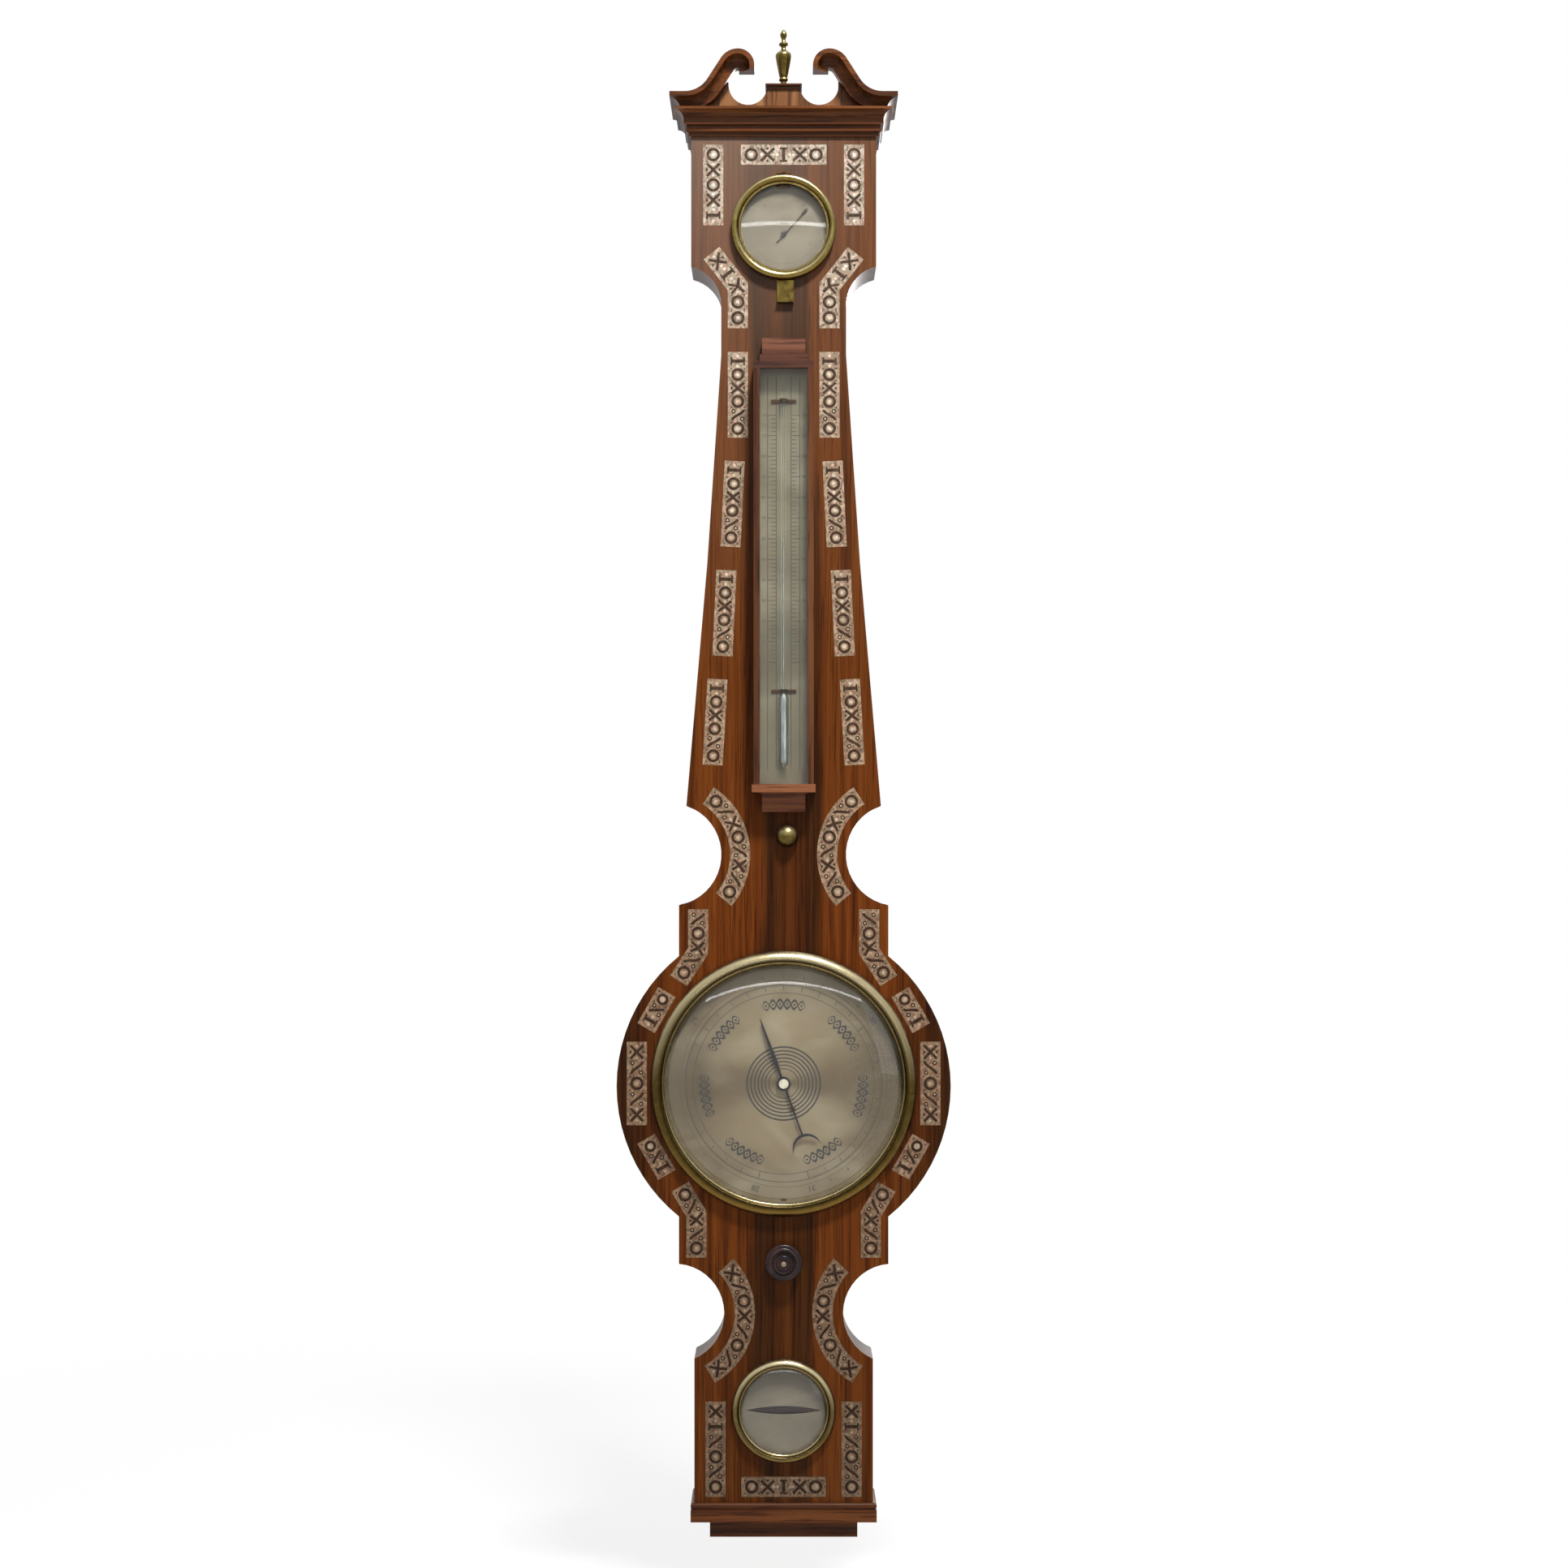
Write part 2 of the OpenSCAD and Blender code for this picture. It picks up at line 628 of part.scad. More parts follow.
module wrap(reach) {
  intersection() {
    slab(0, front + reach) both_sides() {
      translate([head_w / 2, 0]) children();
      area(0, head_w / 2, cornice_low, swan_top_z);
    }
    profile_run(head_w + 2 * reach) {
      translate([front, 0]) children();
      area(0, front, cornice_low, swan_top_z);
    }
  }
}
module head_box() { block(-head_w / 2, head_w / 2, -1, front, cornice_low - 1, swan_top_z + 1); }
module cornice() {
  color("sienna") at_dial() difference() {
    wrap(cornice_reach) cornice_section();
    head_box();
    block(-head_w, head_w, -1, front + cornice_reach + 1, head_up, swan_top_z + 1);
  }
}
swan_cove_r = 9;
// Stretches of a swan neck lap into each other, every second one a hair slimmer
hair = 0.02;
lap = 1;
module swan_section(slim) {
  difference() {
    translate([slim, 0]) square([swan_w - 2 * slim, swan_reach - slim]);
    translate([swan_w, swan_reach]) circle(r = swan_cove_r + slim);
  }
}
module swan_arc(c, r, a0, sweep, inward, slim) {
  translate([c[0], -front, c[1]]) rotate([90, 0, 0]) rotate([0, 0, a0]) rotate_extrude(angle = sweep)
    translate([r, 0]) mirror([inward ? 1 : 0, 0]) swan_section(slim);
}
module swan_return_section(slim) {
  difference() {
    area(0, swan_reach - slim, head_up, swan_top_z - slim);
    translate([swan_reach, swan_top_z - swan_w]) circle(r = swan_cove_r + slim);
  }
}
module swan_return() {
  difference() {
    wrap(swan_reach) swan_return_section(hair);
    block(-head_w, head_w, -1, front + swan_reach + 1, cornice_low - 1, head_up);
    block(-head_w / 2, head_w, -1, front + swan_reach + 1, head_up - 1, swan_top_z + 1);
    block(lap - swan_foot_x, head_w, front, front + swan_reach + 1, head_up - 1, swan_top_z + 1);
  }
}
module swan_neck() {
  intersection() {
    union() {
      swan_arc([-swan_foot_x, swan_centre_z], swan_sweep_r, -90, swan_climb, false, 0);
      translate([swan_run_end[0], -front, swan_run_end[1]]) rotate([0, 90 - swan_climb, 0])
        rotate([180, 0, 0]) translate([0, 0, -lap]) linear_extrude(swan_run + 2 * lap) swan_section(hair);
      swan_arc(swan_crest, swan_crest_r, 90, swan_climb, true, 0);
      swan_arc([swan_crest[0], swan_eye_z], swan_eye_r, 0, 95, true, hair);
      translate([swan_crest[0] + swan_eye_r, -front, swan_eye_z - swan_drop]) rotate([0, 0, 180])
        linear_extrude(swan_drop + lap) swan_section(2 * hair);
    }
    slab(front, front + swan_reach) {
      translate([-head_w / 2, 0]) mirror([1, 0]) swan_return_section(hair);
      area(-head_w / 2, 0, head_up, swan_top_z);
      area(-head_w / 2 - swan_reach, 0, swan_top_z, swan_crest[1] + 2 * swan_crest_r);
    }
  }
  swan_return();
}
module swan_mouldings() { color("sienna") at_dial() both_sides() swan_neck(); }
tablet_cap_h = 4;
scoop_z = head_up + scoop_up;
scoop_edge = scoop_x + scoop_r;
finial_peg_l = 12;
finial_at = front - pediment_t / 2;
module pediment_outline() {
  down = [swan_dir[1], -swan_dir[0]] * swan_w / 2;
  difference() {
    union() {
      area(-head_w / 2, head_w / 2, head_up, scoop_z);
      both_sides() polygon([[-head_w / 2, head_up], [-scoop_edge, head_up],
        [-scoop_edge, swan_crest[1] + swan_w / 2], swan_run_end + down, swan_run_start + down,
        [-head_w / 2, swan_run_start[1]]]);
    }
    both_sides() {
      translate([scoop_x, scoop_z]) circle(r = scoop_r);
      translate([swan_foot_x, swan_centre_z]) circle(r = swan_sweep_r + swan_w / 2);
    }
    area(-scoop_x, scoop_x, tablet_top - tablet_cap_h, scoop_z + 1);
  }
}
module pediment_board() {
  color("brown") at_dial() difference() {
    slab(front - pediment_t, front) pediment_outline();
    finial_hole();
  }
}
module tablet_cap() {
  lip = 1.5;
  at = finial_at - tablet_t / 2;
  color("sienna") at_dial() difference() {
    union() {
      block(-tablet_w / 2, tablet_w / 2, at, at + tablet_t, tablet_top - lip, tablet_top);
      block(lip - tablet_w / 2, tablet_w / 2 - lip, at + lip, at + tablet_t - lip,
        tablet_top - tablet_cap_h, tablet_top);
    }
    finial_hole();
  }
}
module finial_hole() {
  translate([0, -finial_at, tablet_top - finial_peg_l])
    cylinder(r = finial_peg_r + seat_fit, h = finial_peg_l + 1);
}
urn_low = 7;
urn_wide = 21;
urn_foot_r = 3.4;
finial_stem_r = 2.6;
finial_disc_r = 4;
ball_r = 3;
collar_low = finial_h - 13.5;
collar_h = 4.5;
module finial() {
  color("goldenrod") translate([0, -finial_at, tablet_top - hang_drop]) rotate_extrude() intersection() {
    union() {
      area(0, finial_peg_r, 0.5 - finial_peg_l, 1);
      area(0, finial_stem_r, 0, finial_h - ball_r);
      area(0, finial_disc_r, 0, 1.5);
      polygon([[0, urn_low], [urn_foot_r, urn_low], [finial_r, urn_wide], [0, urn_wide]]);
      translate([0, urn_wide]) circle(r = finial_r);
      area(0, finial_disc_r, collar_low, collar_low + collar_h);
      translate([0, finial_h - ball_r]) circle(r = ball_r);
    }
    area(0, finial_r, -finial_peg_l, finial_h);
  }
}
base_bead_r = 2.5;
base_bead_low = base_h - 4;
base_fillet_h = 2;
base_neck_reach = 0.5;
module base_section() {
  area(0, base_reach, 0, base_bead_low - base_fillet_h);
  translate([base_reach - base_bead_r, base_h - base_bead_r]) circle(r = base_bead_r);
  area(0, base_reach - 1, base_bead_low - base_fillet_h, base_bead_low);
  area(0, base_neck_reach, base_bead_low, base_h);
}
module base_moulding() {
  low = -plinth_down - base_h;
  block_back = 4;
  color("sienna") at_dial() {
    intersection() {
      slab(0, front + base_reach) translate([0, low]) both_sides() {
        translate([plinth_w / 2, 0]) base_section();
        area(0, plinth_w / 2, 0, base_h);
      }
      profile_run(plinth_w + 2 * base_reach) translate([0, low]) {
        translate([front, 0]) base_section();
        area(0, front, 0, base_h);
      }
    }
    block(-block_w / 2, block_w / 2, 0, front - block_back, low - block_h, low);
  }
}

// Hanging plate and the brass screws of the back
module hanging_plate() {
  color("goldenrod") at_dial() difference() {
    block(-plate_w / 2 + seat_fit, plate_w / 2 - seat_fit, 0, plate_t,
      hang_drop - plate_down + seat_fit, hang_drop + plate_up - seat_fit);
    rod(0, hang_drop, hang_hole_r, -1, plate_t + 1);
    for (p = plate_screws) {
      rod(p[0], p[1], screw_r, -1, plate_t + 1);
      rod(p[0], p[1], screw_head_r + seat_fit, -1, screw_head_t);
    }
  }
}
module screw(x, z, f) {
  rod(x, z, screw_head_r, f, f + screw_head_t);
  rod(x, z, screw_r, f, f + screw_l - 1);
}
module brass_screws() {
  color("gold") at_dial() {
    for (p = concat(plate_screws, cover_screws)) screw(p[0], p[1], 0);
    for (s = [-1, 1]) screw(s * pillar_x, 0, bridge_at - screw_head_t);
    rod(button_x, button_up, screw_r, button_at, screw_l);
  }
}
module tube_cover() {
  color("sienna") at_dial() difference() {
    block(-limb_x - cover_half_w + seat_fit, -limb_x + cover_half_w - seat_fit, 0, cover_t, cover_low,
      cover_high - seat_fit);
    for (p = cover_screws) {
      rod(p[0], p[1], screw_r, -1, cover_t + 1);
      rod(p[0], p[1], screw_head_r + seat_fit, -1, screw_head_t);
    }
  }
}

// Back door with its hinges and turn button
third = leaf_l / 3;
module knuckle(z0, z1) {
  difference() {
    translate([door_axis_x, -door_axis_at, z0]) cylinder(r = door_knuckle_r, h = z1 - z0);
    translate([door_axis_x, -door_axis_at, z0 - 1]) cylinder(r = hinge_pin_r + seat_fit, h = z1 - z0 + 2);
  }
}
module leaf(reach, z, knuckles) {
  near = door_axis_x + reach * (door_knuckle_r + 0.4);
  far = door_axis_x + reach * (leaf_w - seat_fit);
  block(min(near, far), max(near, far), leaf_at, leaf_at + leaf_t, z - leaf_l / 2, z + leaf_l / 2);
  for (k = knuckles) {
    knuckle(z + k[0], z + k[1]);
    difference() {
      block(min(near, door_axis_x), max(near, door_axis_x), leaf_at, leaf_at + leaf_t, z + k[0], z + k[1]);
      translate([door_axis_x, -door_axis_at, z - leaf_l])
        cylinder(r = hinge_pin_r + seat_fit, h = 2 * leaf_l);
    }
  }
}
module door_hinges() {
  color("goldenrod") at_dial() for (z = hinge_ups) {
    leaf(-1, z, [[-leaf_l / 2, -third / 2], [third / 2, leaf_l / 2]]);
    translate([door_axis_x, -door_axis_at, z - leaf_l / 2]) cylinder(r = hinge_pin_r, h = leaf_l);
  }
}
module door_leaves() {
  color("gold") at_dial() for (z = hinge_ups) leaf(1, z, [[run_gap - third / 2, third / 2 - run_gap]]);
}
module back_door() {
  color("peru") at_dial() difference() {
    block(door_edge_x, door_right - door_gap, 0, door_t, door_low + door_gap, door_high - door_gap);
    for (z = hinge_ups)
      block(door_edge_x - 1, door_axis_x + leaf_w, -1, leaf_at + leaf_t + seat_fit,
        z - leaf_l / 2 - seat_fit, z + leaf_l / 2 + seat_fit);
    rod(button_x, button_up, button_l + 1, -1, button_pocket_t);
  }
}
module door_button() {
  color("gold") at_dial() difference() {
    slab(button_at, button_at + button_t) translate([button_x, button_up]) {
      circle(d = button_w);
      translate([-button_w / 2, 0]) square([button_w, button_l - button_w / 2]);
      translate([0, button_l - button_w / 2]) circle(d = button_w);
    }
    rod(button_x, button_up, screw_r + turn_fit, -1, button_pocket_t);
  }
}

// Brass rings, glasses and silvered plates of the three dials
module ring_section(inner, w, h, step_w, seat_r, seat_h) {
  round_w = w - step_w;
  flat_h = h - round_w / 2;
  difference() {
    union() {
      area(inner, inner + w, 0, flat_h);
      translate([inner + step_w + round_w / 2, flat_h]) circle(d = round_w);
    }
    area(inner - 1, seat_r + seat_fit, -1, seat_h + seat_fit);
  }
}
module dome_section(lip_r, seat_r, rise) {
  sphere_r = (lip_r * lip_r + rise * rise) / (2 * rise);
  area(lip_r - 0.5, seat_r, 0, glass_t);
  intersection() {
    difference() {
      translate([0, glass_t + rise - sphere_r]) circle(r = sphere_r);
      translate([0, rise - sphere_r]) circle(r = sphere_r);
    }
    area(0, lip_r, 0, glass_t + rise + 1);
  }
}
main_step_w = 3;
small_step_w = 2;
lip_play = 0.3;
glass_lift = 0.2;
module main_bezel() {
  color("goldenrod") at_dial() turned(0, 0) translate([0, front])
    ring_section(dial_r, bezel_w, bezel_h, main_step_w, glass_seat_r, glass_lift + glass_t);
}
module main_glass() {
  color("lightcyan", 0.3) at_dial() turned(0, 0) translate([0, front + glass_lift])
    dome_section(dial_r - lip_play, glass_seat_r, glass_rise);
}
module main_dial() {
  color("silver") at_dial() difference() {
    rod(0, 0, dial_seat_r, case_depth, dial_face);
    rod(0, 0, pipe_r + run_gap, 1, front + 1);
  }
}
module small_ring(z, f) {
  turned(0, z) translate([0, f])
    ring_section(small_r, small_bezel_w, small_bezel_h, small_step_w, small_glass_seat_r,
      glass_lift + glass_t);
}
module small_dome(z, f, rise) {
  turned(0, z) translate([0, f + glass_lift])
    dome_section(small_r - lip_play, small_glass_seat_r, rise);
}
module level_bezel() { color("goldenrod") at_dial() small_ring(-level_down, front); }
module level_glass() { color("lightcyan", 0.3) at_dial() small_dome(-level_down, front, level_rise); }
window_l = vial_l - 2;
window_w = 7;
window_r = (window_l * window_l + window_w * window_w) / (4 * window_w);
module level_dial() {
  color("silver") at_dial() slab(small_seat_at, small_seat_at + dial_t)
    translate([0, -level_down]) difference() {
      circle(r = small_seat_r);
      intersection() {
        translate([0, window_r - window_w / 2]) circle(r = window_r);
        translate([0, window_w / 2 - window_r]) circle(r = window_r);
      }
    }
}
module level_vial() {
  color("darkolivegreen") at_dial() pin_x(-vial_l / 2, vial_l / 2, vial_at, -level_down, vial_r);
}

// Hygrometer: hinged ring and glass, plate, hand, beard and catch
hygro_back = front + run_gap;
module hygro_bezel() {
  tab_half = hygro_knuckle_l / 2 - 0.1;
  color("goldenrod") at_dial() {
    small_ring(hygro_up, hygro_back);
    difference() {
      union() {
        pin_x(-tab_half, tab_half, hygro_axis_at, hygro_axis_up, knuckle_r);
        block(-tab_half, tab_half, hygro_axis_at - 1, hygro_axis_at + 1,
          hygro_up + small_bezel_r - 1, hygro_axis_up);
      }
      pin_x(-tab_half - 1, tab_half + 1, hygro_axis_at, hygro_axis_up, hygro_pin_r + seat_fit);
    }
  }
}
module hygro_hinge() {
  color("gold") at_dial() {
    difference() {
      union() {
        block(-hygro_leaf_half, hygro_leaf_half, front - hygro_leaf_t, front,
          hygro_leaf_low + seat_fit, hygro_axis_up + 0.8);
        both_sides() {
          pin_x(hygro_knuckle_l / 2 + 0.1, hygro_leaf_half, hygro_axis_at, hygro_axis_up, knuckle_r);
          block(hygro_knuckle_l / 2 + 0.1, hygro_leaf_half, front - 0.5, hygro_axis_at,
            hygro_axis_up - 0.8, hygro_axis_up + 0.8);
        }
      }
      pin_x(-hygro_leaf_half - 1, hygro_leaf_half + 1, hygro_axis_at, hygro_axis_up, hygro_pin_r + seat_fit);
    }
    pin_x(-hygro_leaf_half, hygro_leaf_half, hygro_axis_at, hygro_axis_up, hygro_pin_r);
  }
}
module hygro_glass() { color("lightcyan", 0.3) at_dial() small_dome(hygro_up, hygro_back, small_rise); }
module hygro_dial() {
  color("silver") at_dial() slab(small_seat_at, small_seat_at + dial_t) difference() {
    translate([0, hygro_up]) circle(r = small_seat_r);
    translate([0, hygro_arbor_up]) circle(r = hygro_arbor_r + turn_fit);
  }
}
hygro_hub_r = 2.4;
hygro_tail = 8;
hygro_point_l = 6;
hygro_point_w = 1.2;
module hygro_hand() {
  color("black") at_dial() {
    translate([0, 0, hygro_arbor_up]) rotate([0, hygro_angle, 0])
      slab(hygro_hand_at, hygro_hand_at + hand_t) {
        circle(r = hygro_hub_r);
        polygon([[-1, -hygro_tail], [1, -hygro_tail], [0.6, 10], [0.4, hygro_hand_l - hygro_point_l],
          [hygro_point_w, hygro_hand_l - hygro_point_l / 2], [0.2, hygro_hand_l],
          [-0.2, hygro_hand_l], [-hygro_point_w, hygro_hand_l - hygro_point_l / 2],
          [-0.4, hygro_hand_l - hygro_point_l], [-0.6, 10]]);
      }
    rod(0, hygro_arbor_up, hygro_arbor_r, hygro_well_at + 6, hygro_hand_at + hand_t);
  }
}
module hygro_beard() {
  color("tan") at_dial()
    rod(0, hygro_arbor_up, beard_r, hygro_well_at - beard_socket, hygro_well_at + 6 - run_gap);
}
module bezel_catch() {
  lip_t = 1.6;
  lip_reach = 3.2;
  low = catch_top - catch_l;
  left = catch_x - catch_w / 2;
  at = front + run_gap;
  color("gold") at_dial() {
    block(left, left + catch_w, at, at + catch_t, low, catch_top);
    block(left, left + catch_w, at, at + catch_t + lip_reach, low - lip_t, low);
    rod(catch_x, stem_up, catch_stem_r, catch_stem_at + run_gap, at + 0.5);
  }
}

// Thermometer box, hung on two screws by keyhole slots
module keyhole(z) {
  neck = hook_r + 0.2;
  entry = hook_head_r + run_gap;
  translate([0, z]) circle(r = neck);
  area(-neck, neck, z - lift_travel, z);
  translate([0, z - lift_travel]) circle(r = entry);
}
module thermo_case() {
  half = thermo_w / 2;
  in_half = thermo_in_w / 2;
  color("firebrick") at_dial() difference() {
    block(-half, half, thermo_at, thermo_front, thermo_up, thermo_top);
    block(-in_half, in_half, thermo_at + thermo_back, thermo_front + 1, thermo_up - 1, thermo_top + 1);
    block(-in_half - groove_d, in_half + groove_d, scale_at - seat_fit, scale_at + scale_t + seat_fit,
      thermo_up - 1, thermo_top + 1);
    block(-in_half - groove_d, in_half + groove_d, pane_at - seat_fit, pane_at + pane_t + seat_fit,
      thermo_up - 1, thermo_top + 1);
    slab(thermo_at - 1, thermo_at + thermo_back + 1) for (z = hook_ups) keyhole(z);
  }
}
pane_half = thermo_in_w / 2 + groove_d - seat_fit;
module thermo_glass() {
  color("lightcyan", 0.3) at_dial()
    block(-pane_half, pane_half, pane_at, pane_at + pane_t, thermo_up, thermo_top);
}
module thermo_scale() {
  color("silver") at_dial() block(-pane_half, pane_half, scale_at, scale_at + scale_t, thermo_up, thermo_top);
}
cap_fillet_h = 5.5;
cap_sweep_h = 6.8;
cap_block_h = 13.6;
cap_sweep_w = 40;
cap_block_w = 36;
module cap_section(half_step, fillet_h, sweep_h, block_h) {
  sweep_step = (cap_sweep_w - cap_block_w) / 2;
  area(0, half_step, 0, fillet_h);
  area(0, sweep_step, fillet_h, fillet_h + sweep_h);
  area(-1, 0, 0, fillet_h + sweep_h + block_h);
}
module moulded_end(step, fillet_h, sweep_h, block_h) {
  inner = cap_block_w / 2;
  deep = thermo_front - step;
  intersection() {
    slab(thermo_at, thermo_front) both_sides() {
      translate([inner, 0]) cap_section(step, fillet_h, sweep_h, block_h);
      area(0, inner, 0, fillet_h + sweep_h + block_h);
    }
    profile_run(thermo_w + 20) {
      translate([deep, 0]) cap_section(step, fillet_h, sweep_h, block_h);
      area(thermo_at, deep, 0, fillet_h + sweep_h + block_h);
    }
  }
}
module thermo_cap() {
  color("firebrick") at_dial() translate([0, 0, thermo_top])
    moulded_end((thermo_w - cap_block_w) / 2, cap_fillet_h, cap_sweep_h, cap_block_h);
}
foot_step = (thermo_w - cap_block_w) / 2 + 1.5;
foot_fillet_h = 6.8;
foot_sweep_h = 0.5;
foot_block_h = 15.5;
module thermo_foot() {
  color("firebrick") at_dial() translate([0, 0, thermo_up]) mirror([0, 0, 1])
    moulded_end(foot_step, foot_fillet_h, foot_sweep_h, foot_block_h);
}
module bore_section(stem, bulb, play) {
  area(0, stem, 0, stem_top - bulb_low - play);
  translate([0, bulb + play]) circle(r = bulb);
  area(0, bulb, bulb + play, bulb_l - bulb);
  translate([0, bulb_l - bulb]) circle(r = bulb);
}
thermo_bore_r = 0.6;
bulb_wall = 0.7;
module along_stem() {
  translate([0, -tube_axis_at, bulb_low]) rotate_extrude() intersection() {
    children();
    area(0, bulb_r, 0, thermo_l);
  }
}
module thermo_tube() {
  color("lightcyan", 0.4) at_dial() along_stem() difference() {
    bore_section(stem_r, bulb_r, 0);
    bore_section(thermo_bore_r, bulb_r - bulb_wall, 2 * bulb_wall);
  }
}
module thermo_filling() {
  reading = 190;
  color("dimgray") at_dial() along_stem() intersection() {
    bore_section(thermo_bore_r - film, bulb_r - bulb_wall - film, 2 * bulb_wall + film);
    area(0, bulb_r, 0, reading);
  }
}
clip_h = 3;
clip_w = 21;
clip_t = 0.8;
clip_ups = [bulb_low + bulb_l + 0.5, stem_top - 9.6];
module thermo_clips() {
  color("gold") at_dial() for (z = clip_ups) difference() {
    union() {
      block(-clip_w / 2, clip_w / 2, scale_at + scale_t, scale_at + scale_t + clip_t, z, z + clip_h);
      translate([0, -tube_axis_at, z]) cylinder(r = stem_r + 1, h = clip_h);
      block(-stem_r, stem_r, scale_at + scale_t, tube_axis_at, z, z + clip_h);
    }
    translate([0, -tube_axis_at, z - 1]) cylinder(r = stem_r + seat_fit, h = clip_h + 2);
  }
}
module thermo_hooks() {
  head_at = thermo_at + thermo_back + run_gap;
  color("gold") at_dial() for (z = hook_ups) {
    rod(0, z, hook_r, case_depth - 10, head_at + 0.5);
    rod(0, z, hook_head_r, head_at, head_at + hook_head_t);
  }
}

// Knobs on the front
module trunk_knob() {
  at = front + run_gap;
  color("goldenrod") at_dial() {
    rod(trunk_knob_x, trunk_knob_up, trunk_stem_r, trunk_stem_at + run_gap, at + 1);
    turned(trunk_knob_x, trunk_knob_up) translate([0, at]) intersection() {
      union() {
        area(0, trunk_knob_r, 0, 2);
        translate([0, 2]) circle(r = trunk_knob_r);
      }
      area(0, trunk_knob_r, 0, trunk_knob_r + 2);
    }
  }
}
set_knob_h = 14;
knob_foot_h = 5;
knob_bead_r = 2.5;
knob_rim_r = 2.3;
knob_crown_r = set_knob_r - 7;
knob_groove_r = 1.4;
knob_tip_r = 3.4;
knob_tip_h = 1.2;
knob_arbor_end = set_knob_h - 4;
module set_knob() {
  at = front + run_gap;
  color("maroon") at_dial() turned(0, -set_knob_down) translate([0, at]) difference() {
    union() {
      area(0, set_knob_r - 3, 0, knob_foot_h);
      area(0, set_knob_r - knob_bead_r, 3, set_knob_h - 2);
      translate([set_knob_r - knob_bead_r, knob_foot_h + 0.5]) circle(r = knob_bead_r);
      translate([set_knob_r - 4.5, set_knob_h - 3.5]) circle(r = knob_rim_r);
      area(0, knob_crown_r, 0, set_knob_h);
      area(0, knob_tip_r, 0, set_knob_h + knob_tip_h);
    }
    area(-1, knob_arbor_r, -1, knob_arbor_end);
    translate([knob_crown_r - 1.5, set_knob_h + 0.2]) circle(r = knob_groove_r);
  }
}
module cord_pulley_section() {
  half = pulley_t / 2;
  difference() {
    area(0, cord_flange_r, -half, half);
    area(cord_groove_r, cord_flange_r + 1, -groove_w / 2, groove_w / 2);
  }
}
module knob_arbor() {
  color("gold") at_dial() {
    turned(0, -set_knob_down) translate([0, cord_at]) cord_pulley_section();
    rod(0, -set_knob_down, knob_arbor_r, cord_at, front + run_gap + knob_arbor_end);
  }
}

// Hands, their arbor and pipe, and the pulleys behind the dial
crescent_r = 12;
crescent_w = 2.4;
hub_r = 6;
module steel_hand() {
  crescent_z = -hand_tail - crescent_r + 0.5;
  tip = hand_at + hand_t;
  color("midnightblue") at_dial() rotate([0, hand_angle, 0]) difference() {
    union() {
      rod(0, 0, hub_r, hand_at, tip);
      slab(hand_at, tip) polygon([[-0.9, 0], [-0.9, 8], [-1.8, 20], [-0.3, hand_l], [0.3, hand_l], [1.8, 20],
        [0.9, 8], [0.9, 0], [0.7, -hand_tail], [-0.7, -hand_tail]]);
      difference() {
        rod(0, crescent_z, crescent_r, hand_at, tip);
        rod(0, crescent_z - crescent_w, crescent_r, hand_at - 1, tip + 1);
      }
    }
    rod(0, 0, arbor_r, hand_at - 1, tip + 1);
  }
}
module hand_boss() {
  boss_r = 4;
  color("gold") at_dial() turned(0, 0) translate([0, hand_at + hand_t]) difference() {
    union() {
      area(0, boss_r, 0, 0.8);
      area(0, boss_r - 1.6, 0, boss_h);
    }
    area(-1, arbor_r, -1, boss_h - 0.6);
  }
}
module hand_arbor() {
  color("silver") at_dial() rod(0, 0, arbor_r, bridge_at, hand_at + hand_t + boss_h - 0.6);
}
module thread_pulley() {
  half = pulley_t / 2;
  color("gold") at_dial() turned(0, 0) translate([0, tube_at]) difference() {
    area(arbor_r, thread_flange_r, -half, half);
    area(thread_groove_r, thread_flange_r + 1, -1, 1);
  }
}
set_hub_r = 4.4;
set_hand_l = hand_l - 3;
module set_hand() {
  tip = set_hand_at + hand_t;
  tail = 22;
  color("gold") at_dial() rotate([0, hand_angle, 0]) difference() {
    union() {
      rod(0, 0, set_hub_r, set_hand_at, tip);
      slab(set_hand_at, tip) polygon([[-1.1, 0], [-0.3, set_hand_l], [0.3, set_hand_l], [1.1, 0],
        [0.8, -tail], [-0.8, -tail]]);
      rod(0, -tail, 2.4, set_hand_at, tip);
    }
    rod(0, 0, pipe_r, set_hand_at - 1, tip + 1);
  }
}
module set_pipe() {
  half = pulley_t / 2;
  color("goldenrod") at_dial() turned(0, 0) difference() {
    union() {
      translate([0, cord_at]) cord_pulley_section();
      area(0, pipe_r, cord_at - half, set_hand_at + hand_t);
    }
    area(-1, arbor_r + turn_fit, 0, front + 20);
  }
}
module arbor_bridge() {
  half = pillar_x + pillar_r + 1;
  color("goldenrod") at_dial() difference() {
    union() {
      block(-half, half, bridge_at, bridge_at + bridge_t, -bridge_h / 2, bridge_h / 2);
      for (s = [-1, 1]) rod(s * pillar_x, 0, pillar_r, bridge_at, cavity_front);
    }
    rod(0, 0, arbor_r + turn_fit, bridge_at - 1, bridge_at + bridge_t + 1);
    for (s = [-1, 1]) rod(s * pillar_x, 0, screw_r, bridge_at - 1, bridge_at + screw_l);
  }
}
module drive_cord() {
  color("saddlebrown") at_dial() {
    for (end = [[0, 0], [-set_knob_down, 180]]) translate([0, -cord_at, end[0]]) rotate([90, 0, 0])
      rotate([0, 0, end[1]]) rotate_extrude(angle = 180) translate([cord_ring_r, 0]) circle(r = cord_r);
    both_sides() translate([cord_ring_r, -cord_at, -set_knob_down]) cylinder(r = cord_r, h = set_knob_down);
  }
}

